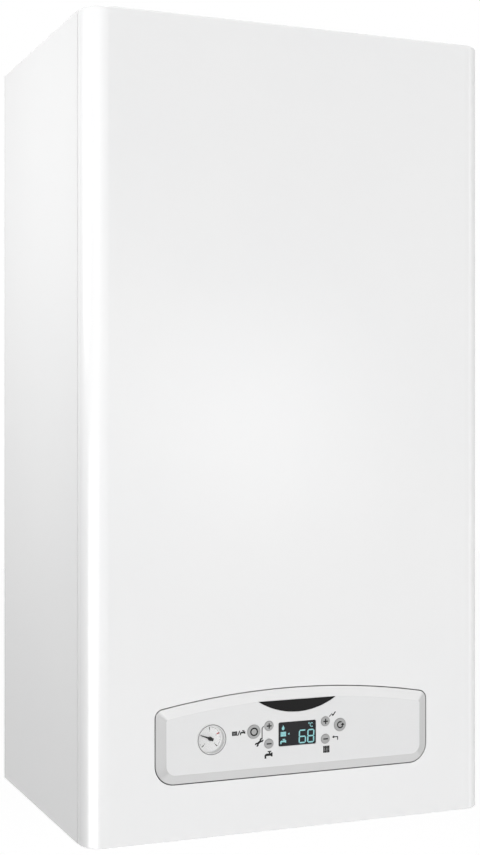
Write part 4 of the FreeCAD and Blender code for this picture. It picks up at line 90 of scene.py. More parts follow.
class Bench:
    """Node tree of one new material, with short ways to add and join nodes."""

    MIX_FIRST = 6
    MIX_SECOND = 7
    MIX_RESULT = 2

    def __init__(self, name: str) -> None:
        """Start a material with its principled shader.

        Args:
            name: Name of the material.
        """
        self.material = bpy.data.materials.new(name)
        self.material.use_nodes = True
        self.shader = self.material.node_tree.nodes["Principled BSDF"]

    def add(self, kind: str, sockets: dict | None = None, **settings: object) -> Node:
        """Add one node.

        Args:
            kind: Node type without its ShaderNode prefix.
            sockets: Values of input sockets by name or number.
            **settings: Properties of the node.

        Returns:
            The new node.
        """
        node = self.material.node_tree.nodes.new("ShaderNode" + kind)
        for name, value in settings.items():
            setattr(node, name, value)
        for name, value in (sockets or {}).items():
            node.inputs[name].default_value = value
        return node

    def join(self, source: Node, output: str | int, target: Node, socket: str | int) -> Node:
        """Link an output to an input and return the node with that input."""
        self.material.node_tree.links.new(source.outputs[output], target.inputs[socket])
        return target

    def coordinates(self, stretch: Point = (1.0, 1.0, 1.0)) -> Node:
        """Object coordinates in metres, stretched along the axes."""
        return self.join(self.add("TexCoord"), "Object", self.add("Mapping", {"Scale": stretch}), "Vector")

    def noise(self, vector: Node, scale: float, detail: float) -> Node:
        """Noise on given coordinates."""
        return self.join(vector, 0, self.add("TexNoise", {"Scale": scale, "Detail": detail}), "Vector")

    def span(self, source: Node, output: int, low: float, high: float, start: float = 0.3,
             end: float = 0.7) -> Node:
        """Map a pattern's values between start and end to the range between low and high."""
        sockets = {"From Min": start, "From Max": end, "To Min": low, "To Max": high}
        return self.join(source, output, self.add("MapRange", sockets), "Value")

    def blend(self, factor: Node, first: Colour | Node, second: Colour | Node) -> Node:
        """Mix two colours, each plain or an earlier mix.

        Args:
            factor: Node whose first output is the share of the second colour.
            first: Colour at a factor of zero.
            second: Colour at a factor of one.

        Returns:
            The mixing node.
        """
        node = self.join(factor, 0, self.add("Mix", data_type="RGBA"), 0)
        for socket, colour in ((self.MIX_FIRST, first), (self.MIX_SECOND, second)):
            if isinstance(colour, Node):
                self.join(colour, self.MIX_RESULT, node, socket)
            else:
                node.inputs[socket].default_value = (*colour, 1.0)
        return node

    def paint(self, colour: Node) -> None:
        """Take a mixed colour to the shader."""
        self.join(colour, self.MIX_RESULT, self.shader, "Base Color")


@dataclass(frozen=True)
class Finish:
    """Surface of one kind of piece."""

    PATCH_DETAIL = 4.0
    COARSE_DETAIL = 8.0
    FINE_DETAIL = 3.0
    FINE_SHARE = 0.55
    PATCH_SHARE = 0.45
    BUMP_STRENGTH = 0.6

    name: str
    colour: Colour
    shade: Colour
    grain: Grain
    scale: float
    relief: float
    gloss: Spot
    metallic: float = 0.0
    specular: float = 0.5
    patch: float = 14.0
    stretch: Point = (1.0, 1.0, 1.0)
    sockets: tuple[tuple[str, float | Row], ...] = ()

    @lru_cache(maxsize=None)
    def material(self) -> bpy.types.Material:
        """Build the material once.

        Returns:
            The material, from an earlier call if there was one.
        """
        bench = Bench(self.name + "_finish")
        shader = bench.shader
        plain = (("Metallic", self.metallic), ("Specular IOR Level", self.specular))
        for name, value in (*plain, *self.sockets):
            shader.inputs[name].default_value = value
        patches = bench.noise(bench.coordinates(), self.patch, self.PATCH_DETAIL)
        fine = self.pattern(bench)
        if self.grain in (Grain.SPANGLE, Grain.ROLLED, Grain.DRAWN):
            tone = bench.add("Math", {1: self.FINE_SHARE}, operation="MULTIPLY_ADD")
            bench.join(fine, 0, tone, 0)
            bench.join(bench.span(patches, 0, 0.0, self.PATCH_SHARE), 0, tone, 2)
        else:
            tone = bench.span(patches, 0, 0.0, 1.0)
        self.dress(bench, bench.blend(tone, self.colour, self.shade))
        bench.join(bench.span(fine, 0, *self.gloss), 0, shader, "Roughness")
        bump = bench.add("Bump", {"Strength": self.BUMP_STRENGTH, "Distance": self.relief})
        bench.join(bench.join(fine, 0, bump, "Height"), 0, shader, "Normal")
        return bench.material

    def dress(self, bench: Bench, colour: Node) -> None:
        """Take the mixed colour to the shader."""
        bench.paint(colour)

    def pattern(self, bench: Bench) -> Node:
        """Fine pattern of the grain.

        Args:
            bench: The material at work.

        Returns:
            A node whose first output is the pattern.
        """
        vector = bench.coordinates(self.stretch)
        if self.grain is Grain.SPANGLE:
            cells = bench.join(vector, 0, bench.add("TexVoronoi", {"Scale": self.scale}), "Vector")
            return bench.join(cells, "Color", bench.add("SeparateColor"), 0)
        coarse = self.grain in (Grain.CAST, Grain.FIBRE)
        return bench.noise(vector, self.scale, self.COARSE_DETAIL if coarse else self.FINE_DETAIL)


@dataclass(frozen=True)
class FasciaFinish(Finish):
    """Moulded fascia with painted shade on its sloping rim, less of it on the lower rim, and painted light
    on the rim along the top.
    """

    rim: Colour = (0.5, 0.5, 0.5)
    sill_shade: Colour = (0.5, 0.5, 0.5)
    brow_light: Colour = (0.5, 0.5, 0.5)
    face_turn: Spot = (-0.985, -0.94)
    sill_turn: Spot = (-0.33, -0.26)
    brow_turn: Spot = (0.22, 0.36)

    def dress(self, bench: Bench, colour: Node) -> None:
        """Paint shade on the rim, where the surface turns away from the front, a little less below, and
        paint light along its top.

        Args:
            bench: The material at work.
            colour: Mixed colour of the face.
        """
        # Painted shade and light: the rim darkens where the normal turns away from the front, a little less
        # where it turns down, and is lighter than the face where it turns up.
        parts = bench.join(bench.add("TexCoord"), "Normal", bench.add("SeparateXYZ"), 0)
        rim_shade_share = bench.span(parts, 1, 0.0, 1.0, *self.face_turn)
        sill_shade_share = bench.span(parts, 2, 1.0, 0.0, *self.sill_turn)
        brow_light_share = bench.span(parts, 2, 0.0, 1.0, *self.brow_turn)
        edge = bench.blend(brow_light_share, bench.blend(sill_shade_share, self.rim, self.sill_shade), self.brow_light)
        bench.paint(bench.blend(rim_shade_share, colour, edge))


@dataclass(frozen=True)
class DialFinish(Finish):
    """Moulded gauge case with a whiter dial at the bottom of its recess, made whiter still as painted light
    against the shade there.
    """

    dial_white_and_light: Colour = (0.90, 0.90, 0.90)
    dial_depth: Spot = (-0.3012, -0.3002)

    def dress(self, bench: Bench, colour: Node) -> None:
        """Whiten what lies behind the front of the recess, partly as painted light against its shade."""
        parts = bench.join(bench.coordinates(), 0, bench.add("SeparateXYZ"), 0)
        # Partly painted light: the dial is set whiter than its own white, to lift the shade of its recess.
        bench.paint(bench.blend(bench.span(parts, 1, 0.0, 1.0, *self.dial_depth), colour, self.dial_white_and_light))


def grey(level: float) -> Colour:
    """Neutral colour of one level."""
    return (level, level, level)


ENAMEL = Finish("white_enamel", grey(0.87), (0.855, 0.857, 0.86), Grain.PEEL, 700.0, 1e-5, (0.21, 0.26),
                patch=5.0)
# Rim colours: painted shade on the sides and bottom of the fascia rim, painted light along its top.
FASCIA = FasciaFinish("fascia_plastic", grey(0.795), (0.78, 0.783, 0.787), Grain.MOULDED, 2500.0, 1e-5,
                      (0.22, 0.28), rim=grey(0.56), sill_shade=grey(0.65), brow_light=grey(0.87))
CAP_PLASTIC = Finish("button_plastic", grey(0.40), grey(0.37), Grain.MOULDED, 3500.0, 2e-5, (0.34, 0.44))
BOX_PLASTIC = Finish("box_plastic", grey(0.20), grey(0.16), Grain.MOULDED, 1800.0, 4e-5, (0.45, 0.6))
BLACK_PLASTIC = Finish("black_plastic", grey(0.025), grey(0.04), Grain.MOULDED, 1800.0, 4e-5, (0.4, 0.55))
RED_PLASTIC = Finish("red_plastic", (0.50, 0.03, 0.02), (0.38, 0.02, 0.015), Grain.MOULDED, 1800.0, 4e-5,
                     (0.35, 0.5))
GLOSS_BLACK = Finish("gloss_black", grey(0.004), grey(0.006), Grain.MOULDED, 900.0, 4e-6, (0.12, 0.18),
                     specular=0.22)
WINDOW_DARK = Finish("display_glass", (0.012, 0.012, 0.014), (0.009, 0.009, 0.011), Grain.MOULDED, 900.0,
                     4e-6, (0.16, 0.24), specular=0.3)
GAUGE_PLASTIC = DialFinish("gauge_plastic", grey(0.79), grey(0.77), Grain.MOULDED, 2500.0, 2e-5, (0.3, 0.4))
ZINC = Finish("galvanised_sheet", (0.43, 0.44, 0.45), (0.34, 0.35, 0.36), Grain.SPANGLE, 300.0, 8e-6,
              (0.42, 0.56), metallic=1.0)
ALUMINISED = Finish("aluminised_sheet", (0.36, 0.36, 0.35), (0.30, 0.30, 0.29), Grain.ROLLED, 240.0, 2e-5,
                    (0.42, 0.56), metallic=1.0, stretch=(1.0, 1.0, 0.05))
STAINLESS = Finish("stainless_steel", (0.48, 0.47, 0.45), (0.39, 0.38, 0.36), Grain.ROLLED, 420.0, 1e-5,
                   (0.22, 0.36), metallic=1.0, stretch=(0.05, 1.0, 1.0))
PLATED = Finish("zinc_plated_steel", (0.50, 0.50, 0.47), (0.42, 0.42, 0.38), Grain.CAST, 500.0, 1e-5,
                (0.28, 0.40), metallic=1.0)
ALUMINIUM = Finish("cast_aluminium", grey(0.50), grey(0.42), Grain.CAST, 600.0, 8e-5, (0.42, 0.58),
                   metallic=1.0)
COPPER = Finish("copper", (0.68, 0.33, 0.20), (0.42, 0.19, 0.12), Grain.DRAWN, 160.0, 1e-5, (0.24, 0.42),
                metallic=1.0, patch=24.0)
BRASS = Finish("brass", (0.62, 0.45, 0.20), (0.46, 0.32, 0.13), Grain.CAST, 500.0, 6e-5, (0.32, 0.48),
               metallic=1.0, patch=30.0)
GAS_YELLOW = Finish("yellow_gas_pipe", (0.66, 0.46, 0.04), (0.58, 0.40, 0.03), Grain.PEEL, 700.0, 3e-5,
                    (0.32, 0.42))
IRON = Finish("cast_iron", grey(0.06), grey(0.035), Grain.CAST, 420.0, 2e-4, (0.5, 0.7))
MOTOR_BLACK = Finish("black_motor", grey(0.03), grey(0.02), Grain.PEEL, 500.0, 8e-5, (0.38, 0.52))
VESSEL_RED = Finish("vessel_red", (0.44, 0.03, 0.02), (0.36, 0.025, 0.018), Grain.PEEL, 500.0, 5e-5,
                    (0.3, 0.42))
BOARD_GREEN = Finish("circuit_green", (0.015, 0.12, 0.045), (0.02, 0.16, 0.06), Grain.MOULDED, 900.0, 3e-5,
                     (0.3, 0.45))
CERAMIC = Finish("ceramic_white", (0.76, 0.73, 0.66), (0.68, 0.64, 0.56), Grain.CAST, 500.0, 3e-5,
                 (0.25, 0.4))
FIBRE = Finish("fibre_board", (0.70, 0.64, 0.52), (0.58, 0.51, 0.40), Grain.FIBRE, 320.0, 3e-4, (0.85, 0.95))
SEAL = Finish("seal_foam", grey(0.02), grey(0.035), Grain.FIBRE, 900.0, 1e-4, (0.7, 0.85))
RUBBER = Finish("black_rubber", grey(0.018), grey(0.028), Grain.FIBRE, 700.0, 6e-5, (0.55, 0.7))
SILICONE = Finish("silicone", (0.55, 0.53, 0.48), (0.48, 0.46, 0.41), Grain.MOULDED, 700.0, 2e-5,
                  (0.4, 0.55))
CLEAR = Finish("clear_glass", (0.30, 0.31, 0.31), (0.27, 0.28, 0.28), Grain.MOULDED, 120.0, 1e-6,
               (0.0, 0.04), sockets=(("Alpha", 0.04),))
INK = Finish("print_ink", grey(0.012), grey(0.018), Grain.CAST, 2500.0, 5e-6, (0.5, 0.62), specular=0.2)
PALE_INK = Finish("pale_ink", grey(0.30), grey(0.34), Grain.CAST, 2500.0, 5e-6, (0.5, 0.62))
NEEDLE_BLACK = Finish("needle_black", grey(0.006), grey(0.009), Grain.MOULDED, 1800.0, 4e-6, (0.5, 0.6),
                      specular=0.2)
# Painted shadow: dark grey of the thin ring that stands in for the shadow of the gap round the gauge case.
SHADOW_RING_GREY = Finish("shadow_ring_grey", grey(0.20), grey(0.17), Grain.MOULDED, 1800.0, 4e-6, (0.3, 0.4))
RED_INK = Finish("red_ink", (0.50, 0.03, 0.03), (0.42, 0.03, 0.03), Grain.CAST, 2500.0, 5e-6, (0.5, 0.62))
LIT = Finish("lit_segment", (0.20, 0.45, 0.46), (0.18, 0.42, 0.43), Grain.MOULDED, 900.0, 5e-6, (0.3, 0.4),
             sockets=(("Emission Color", (0.27, 0.52, 0.55, 1.0)), ("Emission Strength", 0.38)))


# Drawing and turning


def finished(mesh: bmesh.types.BMesh, name: str, finish: Finish, body: str,
             smooth: bool = False) -> bpy.types.Object:
    """Turn a bmesh into a piece that rides on a body.

    Args:
        mesh: The shape, which is freed.
        name: Name of the piece.
        finish: Its finish.
        body: Body that carries it.
        smooth: Whether faces are shaded smooth.

    Returns:
        The piece.
    """
    data = bpy.data.meshes.new(name)
    mesh.to_mesh(data)
    mesh.free()
    data.materials.append(finish.material())
    piece = bpy.data.objects.new(name, data)
    bpy.context.scene.collection.objects.link(piece)
    if smooth:
        data.shade_smooth()
        data.set_sharp_from_angle(angle=SHARP_ANGLE)
    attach(piece, body)
    LOG.info("%s: %d faces on %s", name, len(data.polygons), body)
    return piece


class Stencil:
    """Flat figures drawn in one upright plane and then given a thickness.

    Figures that cross get slightly different heights, so that no two faces lie in one plane.
    """

    LEVELS = 7
    LEVEL_STEP = 0.006
    DISC_SIDES = 24
    ARC_STEP = 7.5
    ARC_LEAST = 6
    UPRIGHT = Matrix.Rotation(math.pi / 2, 4, "X")

    def __init__(self, depth: float) -> None:
        """Start an empty drawing in the plane at a depth, in millimetres out from the wall."""
        self.depth = depth
        self.mesh = bmesh.new()

    def spot(self, where: Spot) -> Vector:
        """Point of the plane in metres."""
        return place(where[0], self.depth, where[1])

    def polygon(self, corners: Iterable[Spot]) -> None:
        """Fill one outline given by a few corners."""
        self.mesh.faces.new([self.mesh.verts.new(self.spot(corner)) for corner in corners])

    def bar(self, start: Spot, end: Spot, width: float) -> None:
        """Straight stroke with square ends.

        Args:
            start: Middle of the first end.
            end: Middle of the other end.
            width: Width of the stroke.
        """
        run = Vector(end) - Vector(start)
        side = Vector((-run.y, run.x)).normalized() * width / 2
        corners = [Vector(start) + side, Vector(start) - side, Vector(end) - side, Vector(end) + side]
        self.polygon([(corner.x, corner.y) for corner in corners])

    def line(self, points: Sequence[Spot], width: float) -> None:
        """Stroke through several points, with round ends and corners.

        Args:
            points: Ends and corners of the stroke.
            width: Its width.
        """
        for start, end in zip(points, points[1:]):
            self.bar(start, end, width)
        for where in points:
            self.disc(where, width / 2)

    def disc(self, centre: Spot, radius: float) -> None:
        """Filled circle."""
        bmesh.ops.create_circle(self.mesh, cap_ends=True, segments=self.DISC_SIDES, radius=radius * MM,
                                matrix=Matrix.Translation(self.spot(centre)) @ self.UPRIGHT)

    def arc(self, centre: Spot, radius: float, width: float, start: float = 0.0,
            sweep: float = FULL_TURN) -> None:
        """Ring or part of one, made by turning a short edge about the centre.

        Args:
            centre: Middle of the ring.
            radius: Radius of the stroke's middle.
            width: Width of the stroke.
            start: First angle in degrees, anticlockwise from the right.
            sweep: Angle that the stroke covers.
        """
        ends = []
        for reach in (radius - width / 2, radius + width / 2):
            ends.append(self.mesh.verts.new(self.spot(circle(centre, reach, (start,))[0])))
        edge = self.mesh.edges.new(ends)
        steps = max(self.ARC_LEAST, int(abs(sweep) / self.ARC_STEP))
        bmesh.ops.spin(self.mesh, geom=ends + [edge], cent=self.spot(centre), axis=(0.0, -1.0, 0.0),
                       angle=math.radians(sweep), steps=steps, use_merge=abs(sweep) >= FULL_TURN)

    def numeral(self, text: str, centre: Spot, size: float) -> None:
        """Number in plain type.

        Args:
            text: The characters.
            centre: Middle of the characters.
            size: Type size.
        """
        curve = bpy.data.curves.new("numeral", "FONT")
        curve.body = text
        curve.size = size * MM
        curve.align_x = "CENTER"
        curve.align_y = "CENTER"
        holder = bpy.data.objects.new("numeral", curve)
        bpy.context.scene.collection.objects.link(holder)
        bpy.context.view_layer.update()
        graph = bpy.context.evaluated_depsgraph_get()
        flat = bpy.data.meshes.new_from_object(holder.evaluated_get(graph))
        flat.transform(Matrix.Translation(self.spot(centre)) @ self.UPRIGHT)
        self.mesh.from_mesh(flat)
        bpy.data.objects.remove(holder)
        bpy.data.meshes.remove(flat)
        bpy.data.curves.remove(curve)

    def figures(self) -> list[list[bmesh.types.BMFace]]:
        """Faces of each separate figure of the drawing.

        Returns:
            One list of faces for each figure.
        """
        known = set()
        found = []
        for face in self.mesh.faces:
            if face not in known:
                figure = [face]
                known.add(face)
                for current in figure:
                    near = {other for edge in current.edges for other in edge.link_faces} - known
                    known |= near
                    figure += near
                found.append(figure)
        return found

    def raised(self, name: str, thickness: float, finish: Finish,
               body: str = "control_panel") -> bpy.types.Object:
        """Give the drawing its thickness and hand it to a body.

        Args:
            name: Name of the piece.
            thickness: Height of the marks above the plane, in millimetres.
            finish: Finish of the marks.
            body: Body that carries them.

        Returns:
            The piece.
        """
        for rank, faces in enumerate(self.figures()):
            height = thickness + rank % self.LEVELS * self.LEVEL_STEP
            grown = bmesh.ops.extrude_face_region(self.mesh, geom=faces)
            top = [v for v in grown["geom"] if isinstance(v, bmesh.types.BMVert)]
            bmesh.ops.translate(self.mesh, verts=top, vec=(0.0, -height * MM, 0.0))
        bmesh.ops.recalc_face_normals(self.mesh, faces=self.mesh.faces[:])
        return finished(self.mesh, name, finish, body)


class Axis(Enum):
    """Directions in which fasteners and fittings point."""

    FORWARD = (0.0, -1.0, 0.0)
    BACKWARD = (0.0, 1.0, 0.0)
    UP = (0.0, 0.0, 1.0)
    LEFT = (-1.0, 0.0, 0.0)


class Sides(IntEnum):
    """Numbers of sides of turned shapes."""

    HEXAGON = 6
    PEG = 12
    SMALL = 24
    MEDIUM = 32
    LARGE = 48
    BROAD = 64


class Lathe:
    """Turned and moulded shapes gathered in one piece, with sizes in millimetres."""

    MERGE = 1e-6
    EDGE_STEPS = 3
    WASHER = ((0.0, 0.0), (0.74, 0.0), (0.74, 0.06), (0.66, 0.13), (0.0, 0.13))
    HEAD = ((0.0, 0.1), (0.577, 0.1), (0.577, 0.5), (0.5, 0.57), (0.36, 0.57), (0.3, 0.48), (0.0, 0.48))
    NUT_SLACK = 0.1
    NUT_GROWTH = (1.45, 4.5)
    NUT_RIM = ((0.93, 0.0), (1.0, 0.12), (1.0, 0.88), (0.93, 1.0))
    GROMMET = ((0.15, -5.0), (2.5, -5.0), (6.5, -3.5), (6.5, -1.0), (6.5, 1.2), (6.5, 3.0), (2.5, 5.0),
               (0.15, 5.0))

    def __init__(self) -> None:
        """Start with nothing on the lathe."""
        self.mesh = bmesh.new()

    def gather(self, shape: bmesh.types.BMesh) -> None:
        """Close a shape, point its faces outwards and add it to the piece.

        Args:
            shape: The shape, which is freed.
        """
        bmesh.ops.remove_doubles(shape, verts=shape.verts[:], dist=self.MERGE)
        bmesh.ops.recalc_face_normals(shape, faces=shape.faces[:])
        data = bpy.data.meshes.new("turned")
        shape.to_mesh(data)
        shape.free()
        self.mesh.from_mesh(data)
        bpy.data.meshes.remove(data)

    def turn(self, profile: Sequence[Spot], where: Point, axis: Axis, steps: int = Sides.MEDIUM,
             ring: bool = False) -> None:
        """Turn a profile about an axis.

        Args:
            profile: Radius and height of each corner, from the axis outwards and back.
            where: Foot of the axis, as for place().
            axis: Direction of the axis.
            steps: Number of sides.
            ring: Whether the profile closes on itself, with a hole along the axis.
        """
        shape = bmesh.new()
        corners = [shape.verts.new((radius * MM, 0.0, height * MM)) for radius, height in profile]
        edges = [shape.edges.new(pair) for pair in zip(corners, corners[1:])]
        if ring:
            edges.append(shape.edges.new((corners[-1], corners[0])))
        bmesh.ops.spin(shape, geom=corners + edges, cent=(0.0, 0.0, 0.0), axis=(0.0, 0.0, 1.0),
                       angle=2 * math.pi, steps=steps, use_merge=True)
        aim = Vector(axis.value).to_track_quat("Z", "Y").to_matrix().to_4x4()
        bmesh.ops.transform(shape, matrix=Matrix.Translation(place(*where)) @ aim, verts=shape.verts[:])
        self.gather(shape)

    def screw(self, where: Point, axis: Axis, flats: float) -> None:
        """Hexagon screw with a washer face and a dished head, as wide across its flats as given."""
        for profile, steps in ((self.WASHER, Sides.SMALL), (self.HEAD, Sides.HEXAGON)):
            self.turn([(radius * flats, height * flats) for radius, height in profile], where, axis, steps)

    def screws(self, spots: Iterable[Spot], front: float, flats: float, axis: Axis = Axis.FORWARD) -> None:
        """Screws of one size at spots of an upright face, whose depth is given."""
        for across, height in spots:
            self.screw((across, front, height), axis, flats)

    def nut(self, where: Point, axis: Axis, bore: float, length: float) -> None:
        """Union nut that clasps a pipe.

        Args:
            where: Foot of the nut on the pipe's axis.
            axis: Direction of the pipe.
            bore: Radius of the pipe.
            length: Length of the nut.
        """
        inner = (bore + self.NUT_SLACK) / math.cos(math.pi / Sides.HEXAGON)
        outer = self.NUT_GROWTH[0] * bore + self.NUT_GROWTH[1]
        rim = [(width * outer, height * length) for width, height in self.NUT_RIM]
        self.turn([(inner, 0.0), *rim, (inner, length)], where, axis, Sides.HEXAGON, True)

    def grommet(self, where: Point, bore: float) -> None:
        """Rubber ring round a pipe where it passes an upright hole in a floor."""
        profile = [(bore + wall, height) for wall, height in self.GROMMET]
        self.turn(profile, where, Axis.UP, Sides.MEDIUM, True)

    def box(self, low: Point, high: Point, edge: float) -> None:
        """Moulded block with rounded edges.

        Args:
            low: Corner with the lowest values, as for place().
            high: Opposite corner.
            edge: Width of the rounding.
        """
        first, last = place(*low), place(*high)
        shape = bmesh.new()
        bmesh.ops.create_cube(shape, size=1.0)
        bmesh.ops.scale(shape, vec=[abs(a - b) for a, b in zip(first, last)], verts=shape.verts[:])
        bmesh.ops.translate(shape, vec=(first + last) / 2, verts=shape.verts[:])
        bmesh.ops.bevel(shape, geom=shape.edges[:], offset=edge * MM, offset_type="OFFSET", affect="EDGES",
                        segments=self.EDGE_STEPS, profile=0.5, material=-1)
        self.gather(shape)

    def piece(self, name: str, finish: Finish, body: str = "case", slot: str = "") -> bpy.types.Object:
        """Hand over everything made so far as one piece."""
        return finished(self.mesh, name, finish, body, smooth=True)


# Control panel


Bars = tuple[tuple[Spot, Spot, Spot], ...]
Arcs = tuple[tuple[Spot, float, float, float, float], ...]
Mark = tuple[Spot, float, float]
Line = tuple[Profile, float]


def ribs(count: int, share: float = 0.84, levels: Spot = (-0.3, 0.3), header: float = 0.13) -> Bars:
    """Radiator sign: a row of upright ribs between two headers.

    Args:
        count: Number of ribs.
        share: Width of a rib, as a share of the pitch.
        levels: Heights of the headers.
        header: Width of a header.

    Returns:
        The bars of the sign.
    """
    middles = [(i + 0.5) / count - 0.5 for i in range(count)]
    upright = [((x, -0.5), (x, 0.5), (share / count, 0.0)) for x in middles]
    return (*upright, *[((-0.5, z), (0.5, z), (0.0, header)) for z in levels])


class Sign(Enum):
    """Plain signs of unit size: bars, arcs, further bars and a filled outline, drawn in that order.

    A bar has a start, an end and a width in shares of the sign's width and height. An arc has a middle, a
    radius, a width, a first angle and a sweep, with its lengths in shares of the sign's width.
    """

    RIBS_4 = (ribs(4),)
    RIBS_6 = (ribs(6),)
    TAP = (
        (((-0.30, 0.02), (0.50, 0.02), (0.0, 0.34)), ((0.40, -0.26), (0.40, 0.28), (0.22, 0.0)),
         ((0.10, 0.02), (0.10, 0.46), (0.18, 0.0)), ((-0.14, 0.44), (0.34, 0.44), (0.0, 0.16))),
        (((-0.28, -0.17), 0.17, 0.26, 90.0, 90.0),),
        (((-0.45, -0.17), (-0.45, -0.50), (0.22, 0.0)),),
    )
    WRENCH = (
        (((-0.32, -0.256), (0.32, 0.256), (0.34, 0.0)),),
        (((-0.384, -0.32), 0.19, 0.24, 265.0, 280.0), ((0.384, 0.32), 0.19, 0.24, 85.0, 280.0)),
    )
    FLAME = ((), (), (), ((0.0, 0.5), (0.16, 0.22), (0.30, -0.08), (0.26, -0.36), (0.10, -0.5),
                          (-0.12, -0.5), (-0.28, -0.34), (-0.28, -0.06), (-0.10, 0.16)))
    MINUS = ((((-0.56, 0.0), (0.56, 0.0), (0.28, 0.0)),),)
    PLUS = ((((-0.56, 0.0), (0.56, 0.0), (0.28, 0.0)), ((0.0, -0.56), (0.0, 0.56), (0.28, 0.0))),)
    RING = ((), (((0.0, 0.0), 0.52, 0.21, 0.0, FULL_TURN),))
    TURN = ((), (((0.0, 0.0), 0.46, 0.2, 60.0, 285.0),), (),
            ((0.0832, -0.092), (0.7632, -0.092), (0.43167, 0.328)))

    def __init__(self, bars: Bars, arcs: Arcs = (), ends: Bars = (), outline: Profile = ()) -> None:
        """Take the parts of the sign."""
        self.bars, self.arcs, self.ends, self.outline = bars, arcs, ends, outline

    def draw(self, stencil: Stencil, centre: Spot, width: float, height: float) -> None:
        """Draw the sign at a place and size.

        Args:
            stencil: The drawing that takes it.
            centre: Middle of the sign.
            width: Its width.
            height: Its height.
        """
        def spread(spot: Spot) -> Spot:
            """Spot of the unit sign at its place and size."""
            return (centre[0] + spot[0] * width, centre[1] + spot[1] * height)

        def lay(bars: Bars) -> None:
            """Lay straight strokes."""
            for start, end, stroke in bars:
                stencil.bar(spread(start), spread(end), stroke[0] * width + stroke[1] * height)

        lay(self.bars)
        for middle, radius, stroke, start, sweep in self.arcs:
            stencil.arc(spread(middle), radius * width, stroke * width, start, sweep)
        lay(self.ends)
        if self.outline:
            stencil.polygon([spread(spot) for spot in self.outline])


@dataclass
class Manometer:
    """Pressure dial: marks and numbers on the face, the needle's pointer and cap, and a dark ring of painted
    shadow for the gap round the gauge case.
    """

    across: float = -84.3
    height: float = 89.0
    face: float = 299.6
    zero: float = 225.0
    step: float = 67.5
    top: int = 4
    parts: int = 4
    strong: int = 8
    tick_reach: float = 10.4
    ticks: tuple[Spot, Spot, Spot] = ((2.5, 0.75), (1.6, 0.45), (0.9, 0.3))
    rail_width: float = 0.25
    number_reach: float = 6.7
    number_size: float = 2.2
    limit_angle: float = 27.0
    limit_reach: Spot = (7.6, 10.7)
    limit_width: float = 0.9
    rest: float = 157.5
    needle_front: float = 302.0
    needle_height: float = 0.3
    needle_turns: Spot = (14.0, 1.8)
    tail: Spot = (3.0, 1.2)
    hub: float = 1.7
    cap: Profile = ((0.0, 0.0), (1.7, 0.0), (1.7, 0.9), (1.3, 1.4), (0.0, 1.5))
    shadow_ring: Spot = (13.3, 0.8)
    shadow_ring_front: float = 305.9
    shadow_ring_height: float = 0.02

    def toward(self, angle: float, reach: float) -> Spot:
        """Spot of the dial at an angle and a reach."""
        return circle((self.across, self.height), reach, (angle,))[0]

    def ray(self, drawing: Stencil, angle: float, start: float, end: float, width: float) -> None:
        """Stroke that points away from the middle of the dial."""
        drawing.bar(self.toward(angle, start), self.toward(angle, end), width)

    def scale(self) -> None:
        """Print the dial."""
        ink = Stencil(self.face)
        pale = Stencil(self.face)
        for i in range(self.top * self.parts + 1):
            angle = self.zero - self.step * i / self.parts
            strong = i % self.strong == 0
            whole = i % self.parts == 0
            length, width = self.ticks[0] if strong else self.ticks[1 if whole else 2]
            self.ray(ink if strong else pale, angle, self.tick_reach - length, self.tick_reach, width)
            if whole:
                spot = self.toward(angle, self.number_reach)
                pale.numeral(str(i // self.parts), spot, self.number_size)
        pale.arc((self.across, self.height), self.tick_reach, self.rail_width, self.zero,
                 -self.step * self.top)
        ink.raised("dial_scale", THICK_PRINT, INK)
        pale.raised("dial_numbers", THIN_PRINT, PALE_INK)
        red = Stencil(self.face)
        self.ray(red, self.limit_angle, *self.limit_reach, self.limit_width)
        red.raised("dial_limit_mark", THICK_PRINT, RED_INK)

    def needle(self) -> None:
        """Pointer with its tail, and the cap on the hub."""
        root, tip = self.needle_turns
        pointer = Stencil(self.needle_front)
        corners = ((-root, self.hub), (-tip, self.tick_reach), (tip, self.tick_reach), (root, self.hub))
        pointer.polygon([self.toward(self.rest + turn, reach) for turn, reach in corners])
        end = self.toward(self.rest + FULL_TURN / 2, self.tail[0])
        pointer.bar((self.across, self.height), end, self.tail[1])
        pointer.raised("needle_pointer", self.needle_height, NEEDLE_BLACK, "gauge_needle")
        cap = Lathe()
        cap.turn(self.cap, (self.across, self.needle_front, self.height), Axis.FORWARD, Sides.SMALL)
        cap.piece("needle_cap", NEEDLE_BLACK, "gauge_needle", "black_plastic")

    def build(self) -> None:
        """Build the marks, the needle's trim and the ring of painted shadow."""
        self.scale()
        self.needle()
        # Painted shadow: a thin dark ring on the gauge case front, standing in for the shadow of the gap
        # round it.
        rim = Stencil(self.shadow_ring_front)
        rim.arc((self.across, self.height), *self.shadow_ring)
        rim.raised("gauge_shadow_ring", self.shadow_ring_height, SHADOW_RING_GREY)


